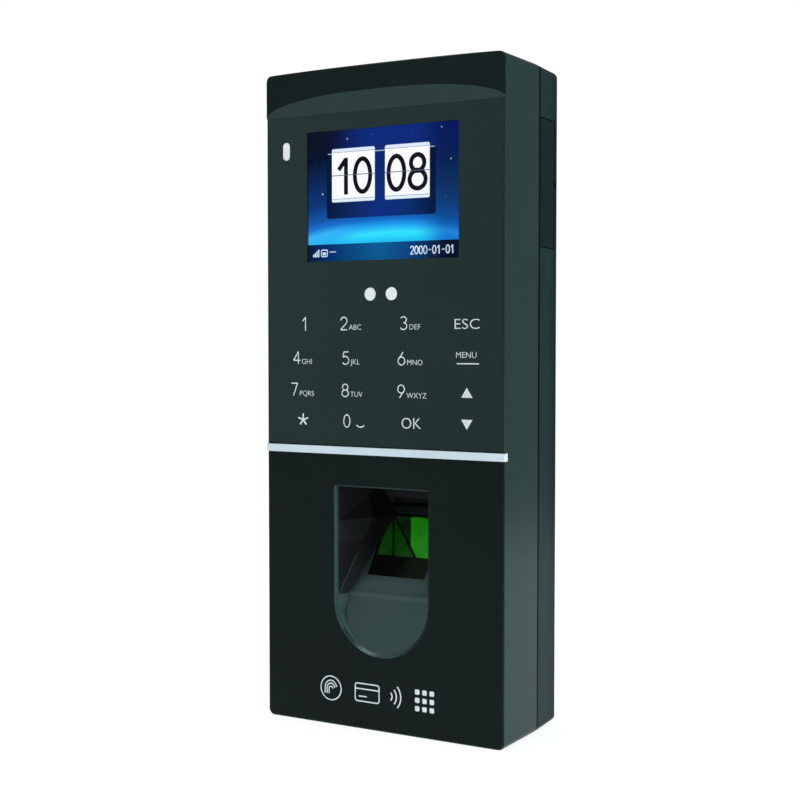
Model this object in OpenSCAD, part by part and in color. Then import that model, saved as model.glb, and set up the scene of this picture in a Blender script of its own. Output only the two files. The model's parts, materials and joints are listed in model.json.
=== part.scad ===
// Wall-mounted fingerprint and card terminal: a two-shell case on a hooked wall plate.
// X runs to the right as the user faces it, the front faces -Y and +Z is up.
// The origin is on the wall, at the centre of the wall plate's screw pattern.
// Heights are counted from a datum that lies just above the case's bottom edge.

/* [Case] */
// Width of the case
case_w = 76; // [76:1:82]
// Height of the case
case_h = 184; // [183:1:186]
// Depth of the case, from the wall to the flat of the front
case_d = 33; // [33:1:36]
// Depth of the front shell, from the flat of the front to the seam
shell_d = 20.5; // [20:0.5:20.5]
// Radius of the case's four corners, seen from the front
corner_r = 1.8; // [1.5:0.1:3]
// Wall thickness of both shells
wall = 2; // [1.8:0.1:2.2]
// How much smaller the rear shell is at the wall, on each side
rear_inset_x = 0.3; // [0.2:0.1:1]
// How much smaller the rear shell is at the wall, at top and bottom
rear_inset_z = 0.5; // [0.3:0.1:1.5]
// How much the top edge rises in its middle
crown = 0.25; // [0:0.05:0.5]

/* [Visor] */
// How far the visor bows out in front of the flat of the front
visor_bulge = 1.6; // [1:0.1:3]
// Height of the visor's lower line above the datum
visor_h = 171.4; // [171:0.1:173]
// Height of the crescent facet at its middle
crescent_h = 5.4; // [4:0.1:7]

/* [Screen] */
// Width of the visible screen
screen_w = 48.3; // [44:0.1:50]
// Height of the visible screen
screen_h = 36.2; // [33:0.1:37]
// Height of the screen's centre above the datum
screen_c = 148.5; // [147:0.1:149]

/* [Finger guide] */
// Half width of the U-shaped mouth
mouth_r = 15.5; // [14:0.1:16]
// Height of the mouth's top edge above the datum
mouth_top = 67.8; // [66:0.1:68.5]
// Height of the mouth's lowest point above the datum
mouth_bottom = 20; // [19:0.1:21]
// Slope of the sensor's ramp from the horizontal
ramp_angle = 53.7; // [52:0.1:55]

/* [Motion] */
// Travel that lifts the terminal off the wall plate's hooks
lift_travel = 7; // [6:0.5:7]
// Play between a moving pin and its bore
pin_play = 0.05; // [0.03:0.01:0.08]

/* [Hidden] */

$fn = 48;
half_w = case_w / 2;
half_h = case_h / 2;
// The bottom edge lies this much below the datum of the heights
foot = 0.5;
top_h = case_h - foot;
mid_h = half_h - foot;
eps = 0.1;

// Depths of the layers, behind the flat of the front
panel_t = 1.5;
front_wall_d = 3.2;
back_wall_d = [29, 30.8];
plate_t = 1.2;
plate_d = [case_d - plate_t, case_d];
board_d = [14.4, 16];

// Heights of the front's fields, above the datum
strip_h = [76.4, 78.5];
key_field_h = [80.3, 118];
indicator_c = [3.4, 121];
indicator_r = 1.8;
status_c = [-31.25, 161.8];
status_size = [2.3, 5];

// Places of the fasteners: half spacing across, then the heights
case_screw_x = 28.5;
case_screw_h = [8.5, 174.5];
board_screw_x = 31.5;
board_screw_h = [75.5, 150];
guide_screw_x = 19.8;
guide_screw_h = [24, 64];
lock_d = 27;

// The wall plate's screw pattern and hooks
wall_screw_x = 22;
wall_screw_h = [mid_h - 57.5, mid_h + 57.5];
wall_screw_r = 2.2;
plate_rib_x = [-5, 5];
plate_rib_t = 0.5;
hook_w = 8;
hook_leg = 5.8;
hook_places = [[-22, 44], [22, 44], [-12, 160], [12, 160]];

// The side port
port_h = [133.7, 169.3];
port_d = [21.2, 31.4];
port_floor_x = 36.4;
port_hinge = [36.95, 22.4];
port_barrel_r = 1;
port_pin_r = 0.5;
usb_h = [151, 164.1];
usb_d = [22.8, 28.5];
reset_c = [25.6, 141.5];

// The tamper plunger's place
tamper_c = [27, 124];

// The sensor's ramp, from its crest
crest_d = 4;
crest_h = 36.2;
ramp_len = 27;
well_back_d = 20.5;
well_back_h = 65.6;
well_back_half = 6.3;
well_flare_half = 12.2;
bezel_half = 9.3;
bezel_s = [6.8, 26.9];
glass_half = 8.7;
glass_s = [13.4, 26.4];

// ---- placing helpers: x is across, h above the datum, d behind the flat of the front ----

module at(x, h, d)
    translate([x, d - case_d, h - mid_h]) children();

// A box from three [low, high] pairs
module block(x, h, d)
    at(x[0], h[0], d[0]) cube([x[1] - x[0], d[1] - d[0], h[1] - h[0]]);

// A block that reaches the same distance to both sides
module wide_block(half, h, d)
    block([-half, half], h, d);

module rod_y(x, h, d, r)
    at(x, h, d[0]) rotate([-90, 0, 0]) cylinder(r = r, h = d[1] - d[0]);

module rod_x(x, h, d, r)
    at(x[0], h, d) rotate([0, 90, 0]) cylinder(r = r, h = x[1] - x[0]);

module rod_z(x, h, d, r)
    at(x, h[0], d) cylinder(r = r, h = h[1] - h[0]);

// A block with its four edges along the depth rounded
module soft_block(x, h, d, r) {
    block([x[0] + r, x[1] - r], h, d);
    block(x, [h[0] + r, h[1] - r], d);
    for (cx = [x[0] + r, x[1] - r], ch = [h[0] + r, h[1] - r])
        rod_y(cx, ch, d, r);
}

// An outline of [d, h] points carried across x
module across(x, points)
    at(x[0], 0, 0) rotate([90, 0, 90])
        linear_extrude(x[1] - x[0]) polygon(points);

// An outline of [x, d] points carried up through h
module upwards(h, points)
    at(0, h[0], 0) linear_extrude(h[1] - h[0]) polygon(points);

// The same thing on the left and on the right
module both_sides() {
    children();
    mirror([1, 0, 0]) children();
}

// The sensor's own frame: x across, then s up the ramp and n out of it
module on_ramp()
    at(0, crest_h, crest_d) rotate([ramp_angle, 0, 0]) children();

module ramp_block(half, s, n)
    on_ramp() translate([-half, s[0], n[0]]) cube([2 * half, s[1] - s[0], n[1] - n[0]]);

// The point at s up the ramp and n out of it, as [d, h]
function ramp_point(s, n) = [
    crest_d + s * cos(ramp_angle) - n * sin(ramp_angle),
    crest_h + s * sin(ramp_angle) + n * cos(ramp_angle)
];

// A plate of the case's outline drawn in by g, between two heights
module case_plate(g, h, d)
    intersection() {
        wide_block(half_w - g, h, d);
        soft_block([g - half_w, half_w - g], [g - foot, top_h - g], [d[0] - 1, d[1] + 1], corner_r - g);
    }

// A U shape: straight sides down to a round bottom
module u_block(r, top, d) {
    round_h = mouth_bottom + mouth_r;
    block([-r, r], [round_h, top], d);
    rod_y(0, round_h, d, r, $fn = 96);
}

// ---- wall plate (fixed to the wall) ----

module hook(x, h) {
    root = [h, h + plate_t];
    reach_d = [27.6, plate_d[0] + eps];
    block([x - hook_w / 2, x + hook_w / 2], root, reach_d);
    block([x - hook_w / 2, x + hook_w / 2], [h, root[1] + hook_leg], [reach_d[0], reach_d[0] + plate_t]);
}

// A pair of stiffening ribs on one upright line, above and below the cable window
module plate_rib(x, r, d)
    for (h = [[52, 84], [128, 156]])
        soft_block([x - r, x + r], h, d, r - 0.05);

module wall_plate() {
    lip_h = [3, 3 + plate_t];
    tongue_half = 9.5;
    color([0.62, 0.64, 0.66]) difference() {
        union() {
            soft_block([-31, 31], [17.5, 173.5], plate_d, 3);
            wide_block(tongue_half, [lip_h[0], 20], plate_d);
            wide_block(tongue_half, lip_h, [23, case_d]);
            for (place = hook_places)
                hook(place[0], place[1]);
            for (x = plate_rib_x)
                plate_rib(x, 2.1, [plate_d[0] - plate_rib_t, case_d]);
        }
        for (x = [-wall_screw_x, wall_screw_x], h = wall_screw_h)
            rod_y(x, h, [plate_d[0] - eps, case_d + eps], wall_screw_r);
        // cable window, as tall as the sockets and the lift travel together
        soft_block([-28, 28], [91, 119.4], [plate_d[0] - eps, case_d + eps], 3);
        // slot that the tamper plunger stays in while the terminal lifts
        soft_block([tamper_c[0] - 2.7, tamper_c[0] + 2.7],
            [tamper_c[1] - 2.7, tamper_c[1] + lift_travel + 2.7], [plate_d[0] - eps, case_d + eps], 2.6);
        // grooves behind the pressed ribs
        for (x = plate_rib_x)
            plate_rib(x, 1.5, [case_d - plate_rib_t, case_d + eps]);
        rod_z(0, [lip_h[0] - eps, lip_h[1] + eps], lock_d, 1.7);
    }
}

module security_screw() {
    color([0.75, 0.76, 0.78]) difference() {
        union() {
            rod_z(0, [1.2, 3], lock_d, 2.75);
            rod_z(0, [2.9, 9.2], lock_d, 1.5);
        }
        at(0, 1.1, lock_d) cylinder(r = 1.25, h = 1.1, $fn = 6);
    }
}

// ---- shells ----

// One layer of the front shell's outside, set in from its full outline
module shell_layer(inset_x, inset_h, d) {
    reach_x = half_w - inset_x - corner_r;
    reach_h = half_h - inset_h - corner_r;
    module post(x, h)
        rod_y(x, mid_h + h, [d, d + 0.02], corner_r, $fn = 32);
    for (sx = [-1, 1], sh = [-1, 1])
        post(sx * reach_x, sh * reach_h);
    // the top edge is crowned
    for (k = [-0.8 : 0.2 : 0.8])
        post(k * reach_x, reach_h + crown * (1 - k * k));
}

// Depth of the visor's bowed front at x, in front of the flat
function bow(x) = visor_bulge * pow(1 - pow(min(abs(x) / half_w, 1), 2.4), 0.53);

// The visor's bowed outline carried up through h, drawn in by r
module bow_slab(r, h) {
    steps = 28;
    out = half_w + 1;
    bowed = [for (i = [-steps : steps]) let (x = half_w * sin(90 * i / steps)) [x, r - bow(x)]];
    upwards(h, concat([[-out, 1], [-out, r + 0.1]], bowed, [[out, r + 0.1], [out, 1]]));
}

module visor() {
    top_round = 0.4;
    over = top_h + crown + 0.05;
    inset = 0.01;
    intersection() {
        // the top edge is broken
        hull() {
            bow_slab(0, [visor_h - 1, over - top_round]);
            bow_slab(top_round, [visor_h - 1, over]);
        }
        // the crescent facet rises forwards from the visor's lower line
        across([-half_w - 2, half_w + 2], [
            [2, visor_h], [0, visor_h], [-visor_bulge, visor_h + crescent_h],
            [-visor_bulge - 1, visor_h + crescent_h], [-visor_bulge - 1, over + 1], [2, over + 1]
        ]);
        hull() {
            shell_layer(inset, inset, -visor_bulge - 1);
            shell_layer(inset, inset, 0.9);
        }
    }
}

module front_shell() {
    edge_r = 0.3;
    window_half = 28.5;
    color([0.19, 0.27, 0.27]) difference() {
        union() {
            difference() {
                union() {
                    hull() {
                        for (a = [0 : 22.5 : 90])
                            shell_layer(edge_r * (1 - sin(a)), edge_r * (1 - sin(a)), edge_r * (1 - cos(a)));
                        shell_layer(0, 0, shell_d - 0.02);
                    }
                    visor();
                }
                soft_block([wall - half_w, half_w - wall], [wall - foot, top_h - wall],
                    [front_wall_d, shell_d + eps], 1.5);
            }
            for (x = [-case_screw_x, case_screw_x], h = case_screw_h)
                rod_y(x, h, [front_wall_d - eps, shell_d], 3.2);
            for (x = [-board_screw_x, board_screw_x], h = board_screw_h)
                rod_y(x, h, [front_wall_d - eps, board_d[0]], 2.4);
        }
        // pockets for the two front panels and the groove for the trim strip
        case_plate(0.5, [78.8, visor_h], [-eps, panel_t]);
        case_plate(0.5, [-foot, 76.1], [-eps, panel_t]);
        wide_block(half_w + eps, [strip_h[0] - 0.05, strip_h[1] + 0.05], [-eps, 1.05]);
        both_sides()
            block([half_w - 1, half_w + eps], [strip_h[0] - 0.05, strip_h[1] + 0.05], [0, 2.05]);
        // windows behind the panels
        wide_block(window_half, [screen_c - 22, screen_c + 21.6], [panel_t - eps, front_wall_d + eps]);
        wide_block(33, key_field_h, [panel_t - eps, front_wall_d + eps]);
        u_block(mouth_r + 0.9, mouth_top + 0.9, [panel_t - eps, front_wall_d + eps]);
        soft_block([status_c[0] - 1.5, status_c[0] + 1.5], [status_c[1] - 2.8, status_c[1] + 2.8],
            [panel_t - eps, front_wall_d + eps], 1.2);
        for (x = [-indicator_c[0], indicator_c[0]])
            rod_y(x, indicator_c[1], [panel_t - eps, front_wall_d + eps], indicator_r + 0.1);
        // blind holes in the bosses and behind the guide's flange
        for (x = [-case_screw_x, case_screw_x], h = case_screw_h)
            rod_y(x, h, [12, shell_d + eps], 1.9);
        for (x = [-board_screw_x, board_screw_x], h = board_screw_h)
            rod_y(x, h, [8, board_d[0] + eps], 1);
        for (x = [-guide_screw_x, guide_screw_x], h = guide_screw_h)
            rod_y(x, h, [1.8, front_wall_d + eps], 1);
        // sound slots under the speaker
        for (x = [-10.5 : 3 : 10.5])
            block([x - 0.6, x + 0.6], [-foot - eps, wall - foot + eps], [7, 15]);
    }
}

module rear_shell() {
    pocket_half = 32.6;
    tongue_in = wall + 0.15;
    inside = 3.3;
    color([0.15, 0.21, 0.22]) difference() {
        union() {
            difference() {
                union() {
                    hull() {
                        shell_layer(0.35, 0.35, shell_d + 0.1);
                        shell_layer(0.02, 0.04, shell_d + 0.5);
                        shell_layer(rear_inset_x, rear_inset_z, case_d - 0.02);
                    }
                    // tongue that enters the front shell
                    soft_block([tongue_in - half_w, half_w - tongue_in],
                        [tongue_in - foot, top_h - tongue_in], [shell_d - 1.8, shell_d + 1], 1.4);
                }
                soft_block([inside - half_w, half_w - inside], [inside - foot, top_h - inside],
                    [shell_d - 2, back_wall_d[0]], 1);
            }
            // pillars for the case screws, the lock boss and the port's thick wall
            for (x = [-case_screw_x, case_screw_x], h = case_screw_h)
                rod_y(x, h, [shell_d + 0.1, back_wall_d[0] + eps], 3.2);
            wide_block(12.2, [2.5, 6.6], [shell_d + 0.6, back_wall_d[1]]);
            rod_z(0, [6, 11], lock_d, 3.4);
            block([34.3, 36.8], [port_h[0] - 2.4, port_h[1] + 2.4], [shell_d + 0.6, back_wall_d[1]]);
            // ribs that hold the port board
            for (h = [134.6, 166.4])
                block([18.8, 23.6], [h, h + 2], [25, back_wall_d[0] + eps]);
        }
        // pocket for the wall plate, open below for its tongue and lip
        soft_block([-pocket_half, pocket_half], [5.2, 178], [back_wall_d[1], case_d + eps], 3);
        wide_block(10.2, [-foot - eps, 6], [back_wall_d[1], case_d + eps]);
        wide_block(10.2, [-foot - eps, 4.5], [22.6, case_d + eps]);
        // slots for the hooks, and for the wall screws' heads while the terminal lifts
        for (place = hook_places)
            block([place[0] - hook_w / 2 - 0.4, place[0] + hook_w / 2 + 0.4],
                [place[1] - lift_travel - 0.4, place[1] + plate_t + 0.1],
                [back_wall_d[0] - eps, back_wall_d[1] + eps]);
        for (x = [-wall_screw_x, wall_screw_x], h = wall_screw_h)
            block([x - 4.8, x + 4.8], [h - 4.4 - lift_travel, h + 4.4],
                [back_wall_d[0] - eps, back_wall_d[1] + eps]);
        // window over the wiring and network sockets
        soft_block([-28, 28], [92, 112], [back_wall_d[0] - eps, back_wall_d[1] + eps], 2);
        // case screws: shank, then head
        for (x = [-case_screw_x, case_screw_x], h = case_screw_h) {
            rod_y(x, h, [shell_d, case_d], 1.4);
            rod_y(x, h, [27, case_d], 2.6);
        }
        // lock insert
        rod_z(0, [4, 11.1], lock_d, 2.2);
        // tamper plunger
        rod_y(tamper_c[0], tamper_c[1], [28, case_d], 1.5 + pin_play);
        // port pocket, with its USB mouth, reset hole, hinge pin bore and nail notch
        block([port_floor_x, half_w + 1], port_h, port_d);
        block([34, port_floor_x + eps], [usb_h[0] - 0.3, usb_h[1] + 0.3], [usb_d[0] - 0.3, usb_d[1] + 0.3]);
        rod_x([33, port_floor_x + eps], reset_c[1], reset_c[0], 1 + pin_play);
        rod_z(port_hinge[0], [port_h[0] - 1.6, port_h[1] + 1.6], port_hinge[1], port_pin_r);
        rod_z(port_hinge[0], port_h, port_hinge[1], port_barrel_r + 0.25);
        rod_x([37.2, half_w + 1], (port_h[0] + port_h[1]) / 2, port_d[1], 1.2);
    }
}

// ---- front panels ----

module indicator_holes(r)
    for (x = [-indicator_c[0], indicator_c[0]])
        rod_y(x, indicator_c[1], [-1, 6], r);

module upper_panel() {
    gap = 0.05;
    color([0.13, 0.19, 0.19]) difference() {
        case_plate(0.55, [78.85, visor_h - 0.05], [0, panel_t]);
        wide_block(screen_w / 2 + gap, [screen_c - screen_h / 2 - gap, screen_c + screen_h / 2 + gap],
            [-eps, panel_t + eps]);
        soft_block([status_c[0] - status_size[0] / 2 - gap, status_c[0] + status_size[0] / 2 + gap],
            [status_c[1] - status_size[1] / 2 - gap, status_c[1] + status_size[1] / 2 + gap],
            [-eps, panel_t + eps], 1.1);
        indicator_holes(indicator_r + gap);
    }
}

module display_window()
    color([0.4, 0.6, 0.9, 0.4])
        wide_block(screen_w / 2, [screen_c - screen_h / 2, screen_c + screen_h / 2], [0.05, panel_t]);

module lower_panel()
    color([0.09, 0.13, 0.13]) difference() {
        case_plate(0.55, [-foot, 76.05], [0, panel_t]);
        u_block(mouth_r, mouth_top, [-eps, panel_t + eps]);
    }

module trim_strip() {
    proud = 0.3;
    out = half_w + 0.1;
    end_r = 0.45;
    color([0.79, 0.87, 0.92]) {
        block([-out, out], strip_h, [-proud, 1]);
        both_sides() {
            block([half_w - 0.95, out], strip_h, [0.9, 1.5]);
            rod_z(out - end_r, strip_h, 1.5, end_r);
        }
    }
}

module status_light_pipe()
    color([0.92, 0.96, 0.98]) {
        soft_block([status_c[0] - status_size[0] / 2, status_c[0] + status_size[0] / 2],
            [status_c[1] - status_size[1] / 2, status_c[1] + status_size[1] / 2], [-0.05, 4], 1.1);
        block([status_c[0] - 2.4, status_c[0] + 2.4], [status_c[1] - 3.6, status_c[1] + 3.6],
            [front_wall_d + 0.05, 4.2]);
    }

module indicator_lenses()
    color([0.92, 0.96, 0.98]) for (x = [-indicator_c[0], indicator_c[0]]) {
        rod_y(x, indicator_c[1], [-0.1, 4.4], indicator_r);
        rod_y(x, indicator_c[1], [front_wall_d + 0.05, 4.4], 2.6);
    }

// ---- display ----

display_h = [screen_c - 21.2, screen_c + 20.8];

module display_gasket()
    color([0.05, 0.05, 0.05]) difference() {
        wide_block(27.6, display_h, [panel_t, 2]);
        wide_block(screen_w / 2 + 0.3, [screen_c - screen_h / 2 - 0.3, screen_c + screen_h / 2 + 0.3],
            [0, 3]);
    }

module display_cell()
    color([0.10, 0.25, 0.75]) wide_block(27.6, display_h, [2, 3.4]);

module display_backlight()
    color([0.9, 0.92, 0.9]) wide_block(27.6, display_h, [3.4, 5]);

module display_frame()
    color([0.65, 0.67, 0.7]) difference() {
        wide_block(28.2, [display_h[0] - 0.5, display_h[1] + 0.5], [2.4, 5.4]);
        wide_block(27.7, [display_h[0] - 0.1, display_h[1] + 0.1], [2.3, 5]);
        // way out for the ribbon
        wide_block(7, [display_h[0] - 1, display_h[0] + 3], [2.3, 5.5]);
    }

// A flat strip that runs down, turns back through the case and ends on a board
module ribbon(x, drop_h, drop_d, end_d, foot_h) {
    t = 0.15;
    block(x, drop_h, [drop_d, drop_d + t]);
    block(x, [drop_h[0], drop_h[0] + t], [drop_d, end_d]);
    block(x, foot_h, [end_d - t, end_d]);
}

module display_ribbon()
    color([0.85, 0.55, 0.15]) ribbon([-6, 6], [124.6, 129.6], 5.02, board_d[0] - 1, [118, 124.75]);

// ---- touch keys and card reader ----

module touch_key_board()
    color([0.08, 0.25, 0.12]) wide_block(32.6, [80.7, 117.6], [1.6, 2.8]);

module key_light_guide()
    color([0.9, 0.93, 0.95]) difference() {
        wide_block(32, [81.2, 117.1], [2.9, 3.9]);
        for (x = [-24, 24], h = [84, 114])
            rod_y(x, h, [2, 5], 1.2);
    }

module key_ribbon()
    color([0.85, 0.55, 0.15])
        ribbon([20, 27], [79.2, 80.65], 1.8 + front_wall_d, board_d[0] - 0.05, [79.2, 90]);

module antenna_board()
    color([0.10, 0.35, 0.16]) difference() {
        wide_block(32, [81, 117.5], [5.2, 6]);
        wide_block(22, [90, 108], [5, 6.2]);
    }

module antenna_coil()
    color([0.85, 0.45, 0.2]) for (i = [0 : 3]) {
        in = 1.4 + i * 1.8;
        difference() {
            wide_block(32 - in, [81 + in, 117.5 - in], [6, 6.1]);
            wide_block(31.2 - in, [81.8 + in, 116.7 - in], [5.9, 6.2]);
        }
    }

// ---- finger guide and sensor ----

// The mouth's bevel, and the half width and top that it leaves
mouth_bevel = 0.8;
well_r = mouth_r - 0.15 - mouth_bevel;
well_top = mouth_top - 0.55;

// Small marks on the left and the right that hulls are drawn round
module corner_marks(places)
    both_sides() for (p = places)
        at(p[0], p[1], p[2]) cube(0.01);

// The space between the well's side walls: upright below, and flaring at the back above the glass
module well_sides(glass_top) {
    upwards([10, 75], [
        [-well_r, -1], [well_r, -1], [well_r, mouth_bevel],
        [well_back_half, well_back_d], [well_back_half, well_back_d + 1],
        [-well_back_half, well_back_d + 1], [-well_back_half, well_back_d], [-well_r, mouth_bevel]
    ]);
    hull() corner_marks([
        [well_r, glass_top, mouth_bevel], [well_r, 75, mouth_bevel],
        [well_back_half, glass_top, well_back_d], [well_flare_half, well_back_h, well_back_d],
        [well_flare_half, 75, well_back_d]
    ]);
}

// The hollow that a finger goes into: side view, plan view and front view together
module finger_hollow() {
    glass_top = ramp_point(ramp_len, 0);
    intersection() {
        across([-mouth_r, mouth_r], [
            [-1, 18], [0.4, mouth_bottom + 0.6], [crest_d, crest_h], glass_top,
            [well_back_d, glass_top[1] + 0.4], [well_back_d, well_back_h], [-1, mouth_top]
        ]);
        well_sides(glass_top[1] - 0.5);
        u_block(well_r, well_top, [-1, well_back_d + 1]);
    }
    hull() {
        u_block(mouth_r - 0.1, mouth_top - 0.15, [-0.1, -0.05]);
        u_block(well_r, well_top, [mouth_bevel, mouth_bevel + 0.01]);
    }
    // groove across the back
    wide_block(well_back_half + 2, [60.3, 62.7], [well_back_d - eps, well_back_d + 1.1]);
}

module finger_guide() {
    skin = 1.8;
    under_crest = ramp_point(-0.8, -skin);
    under_top = ramp_point(ramp_len + 0.6, -skin);
    color([0.21, 0.28, 0.28]) difference() {
        union() {
            // spigot that fills the panel's mouth, and the flange behind the shell's wall
            u_block(mouth_r - 0.1, mouth_top - 0.1, [0, 4]);
            block([-22.6, 22.6], [17, 70.4], [front_wall_d + 0.05, 4.7]);
            intersection() {
                across([-16, 16], [
                    [3.3, 19], [4, 20], under_crest, under_top,
                    [22.6, under_top[1] + 1], [22.6, 67.4], [3.3, 69.4]
                ]);
                upwards([10, 75], [
                    [-16, 3], [16, 3], [14.2, 22.7], [-14.2, 22.7]
                ]);
            }
        }
        finger_hollow();
        // seat for the sensor's bezel, which reaches under the side walls; open behind for the prism
        ramp_block(bezel_half + 0.05, [bezel_s[0] - 0.05, bezel_s[1] + 0.05], [-1.1, 0.12]);
        ramp_block(glass_half + 0.3, [glass_s[0] - 0.3, glass_s[1] + 0.3], [-4, 0.12]);
        for (x = [-guide_screw_x, guide_screw_x], h = guide_screw_h)
            rod_y(x, h, [3, 5], 1.15);
    }
}

module pan_screw(x, h, d, head_r, shank_r, tip_d) {
    difference() {
        rod_y(x, h, [d, d + 1.2], head_r);
        block([x - head_r * 0.6, x + head_r * 0.6], [h - 0.2, h + 0.2], [d + 0.6, d + 2]);
        block([x - 0.2, x + 0.2], [h - head_r * 0.6, h + head_r * 0.6], [d + 0.6, d + 2]);
    }
    rod_y(x, h, [tip_d, d + 0.1], shank_r);
}

module guide_screws()
    color([0.6, 0.62, 0.65]) for (x = [-guide_screw_x, guide_screw_x], h = guide_screw_h)
        pan_screw(x, h, 4.7, 1.9, 0.98, 1.9);

module sensor_bezel()
    color([0.02, 0.02, 0.02]) difference() {
        ramp_block(bezel_half, bezel_s, [-1, 0.05]);
        ramp_block(glass_half + 0.05, [glass_s[0] - 0.05, glass_s[1] + 0.05], [-1.2, 1]);
    }

// The prism: its broad face is the finger's window and its two slopes meet inside
module sensor_prism() {
    ridge_s = 19;
    depth = 6.5;
    color([0.1, 0.75, 0.15, 0.6]) on_ramp()
        translate([-glass_half, 0, 0]) rotate([90, 0, 90]) linear_extrude(2 * glass_half)
            polygon([
                [glass_s[0], -0.15], [glass_s[1], -0.15], [glass_s[1], -1.2], [ridge_s + 3, -depth],
                [ridge_s - 1.5, -depth], [glass_s[0], -1.2]
            ]);
}

housing_s = [5.5, 27.6];
housing_n = [-9, -2];

module sensor_housing()
    color([0.05, 0.05, 0.05]) difference() {
        ramp_block(11, housing_s, housing_n);
        // chamber that the prism hangs in, open towards the finger and towards the camera board
        ramp_block(glass_half + 0.3, [glass_s[0] - 0.3, glass_s[1] + 0.3], [-6.8, 0]);
        ramp_block(4.2, [glass_s[0] - 0.3, glass_s[1] - 1], [-9.5, -6]);
        // port that the light board shines through
        ramp_block(8, [8.1, glass_s[0]], [-5.5, -3]);
    }

module sensor_lens()
    color([0.12, 0.12, 0.14]) on_ramp() translate([0, 19.5, -9]) difference() {
        cylinder(r = 3, h = 1.6);
        translate([0, 0, 1]) cylinder(r = 1.8, h = 1);
    }

module sensor_camera_board()
    color([0.08, 0.3, 0.14]) ramp_block(10.8, [7, 26.6], [-10, -9]);

module sensor_light_board() {
    color([0.85, 0.9, 0.85]) ramp_block(7.6, [8.3, 9], [-5.3, -3.2]);
    color([0.3, 0.95, 0.35]) for (x = [-5, 0, 5])
        on_ramp() translate([x - 0.8, 9, -4.8]) cube([1.6, 0.6, 1.1]);
}

module sensor_ribbon() {
    end = ramp_point(26.4, -9.9);
    color([0.85, 0.55, 0.15]) {
        block([-5, 5], [end[1] - 2, 80], [28.1, 28.25]);
        block([-5, 5], [79.85, 80], [16.2, 28.25]);
        block([-5, 5], [74, 80], [16.05, 16.2]);
    }
}

// ---- main board ----

module main_board()
    color([0.06, 0.30, 0.16]) difference() {
        wide_block(34.2, [71.5, 165], board_d);
        for (x = [-board_screw_x, board_screw_x], h = board_screw_h)
            rod_y(x, h, [board_d[0] - eps, board_d[1] + eps], 1.1);
        // clearance for the network socket's shield pegs
        for (x = [10.2, 23.8])
            rod_y(x, 102, [board_d[0] - eps, board_d[1] + eps], 0.8);
    }

module board_screws()
    color([0.6, 0.62, 0.65]) for (x = [-board_screw_x, board_screw_x], h = board_screw_h)
        pan_screw(x, h, board_d[1], 1.9, 0.98, 9);

module processor_can()
    color([0.75, 0.76, 0.78]) difference() {
        block([-14, 12], [85, 113], [11.9, board_d[0]]);
        block([-13.7, 11.7], [85.3, 112.7], [12.2, board_d[0] + eps]);
    }

module memory_chips()
    color([0.05, 0.05, 0.06]) {
        for (h = [128, 144])
            block([-28, -16], [h, h + 8], [13.2, board_d[0]]);
        block([14, 22], [130, 136], [12.9, board_d[0]]);
        block([14, 19], [142, 147], [12.9, board_d[0]]);
    }

module relay()
    color([0.1, 0.25, 0.6]) soft_block([-29, -14], [114.5, 126.5], [board_d[1], 26.5], 0.6);

module coin_cell_holder()
    color([0.1, 0.1, 0.1]) difference() {
        union() {
            rod_y(-12, 143, [board_d[1], 20.6], 12);
            block([-26, -24], [140, 146], [board_d[1], 19]);
            block([-25, -20], [140, 146], [board_d[1], 17]);
        }
        rod_y(-12, 143, [17, 21], 10.3);
        block([-4, 4], [140, 146], [17, 21]);
    }

module coin_cell()
    color([0.8, 0.81, 0.83]) rod_y(-12, 143, [17, 20.2], 10);

network_x = [9, 25];
network_h = [94, 110];

module network_socket()
    color([0.78, 0.79, 0.8]) difference() {
        block(network_x, network_h, [board_d[1], 29.6]);
        block([network_x[0] + 2.1, network_x[1] - 2.1], [96.5, 104.6], [18.5, 30]);
        block([network_x[0] + 5, network_x[1] - 5], [95, 97], [20, 30]);
    }

module network_contacts()
    color([0.9, 0.7, 0.25]) for (i = [0 : 7])
        block([13.3 + i * 1.02, 13.65 + i * 1.02], [104.0, 104.6], [19, 28.4]);

wiring_x = [[-27, -13.5], [-12.5, -3], [-2, 5]];

module wiring_sockets()
    color([0.93, 0.92, 0.87]) for (x = wiring_x) difference() {
        block(x, [96, 103.5], [board_d[1], 24]);
        block([x[0] + 0.8, x[1] - 0.8], [96.8, 102.7], [17.5, 24.1]);
        block([x[0] + 2.5, x[1] - 2.5], [102, 104], [19.5, 24.1]);
    }

module wiring_pins()
    color([0.85, 0.7, 0.35]) for (x = wiring_x) {
        pitch = 2;
        count = floor((x[1] - x[0] - 3) / pitch);
        middle = (x[0] + x[1]) / 2;
        for (i = [0 : count])
            block([middle + (i - count / 2) * pitch - 0.3, middle + (i - count / 2) * pitch + 0.3],
                [99.4, 100], [17.5, 22.5]);
    }

// ---- speaker ----

module oval(x, h, d, grow) {
    r = (d[1] - d[0]) / 2;
    middle = (d[0] + d[1]) / 2;
    block([x[0] + r, x[1] - r], h, [d[0] - grow, d[1] + grow]);
    for (cx = [x[0] + r, x[1] - r])
        rod_z(cx, h, middle, r + grow);
}

module speaker() {
    color([0.1, 0.1, 0.1]) difference() {
        oval([-15, 15], [2.7, 6.6], [6, 16], 0);
        oval([-15, 15], [2.6, 3.4], [6, 16], -0.8);
    }
    color([0.6, 0.6, 0.62]) rod_z(0, [6.5, 8.2], 11, 4);
}

module speaker_gasket()
    color([0.15, 0.15, 0.15]) difference() {
        oval([-15, 15], [wall - foot, 2.7], [6, 16], 0.4);
        oval([-15, 15], [wall - foot - eps, 2.8], [6, 16], -1);
    }

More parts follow.
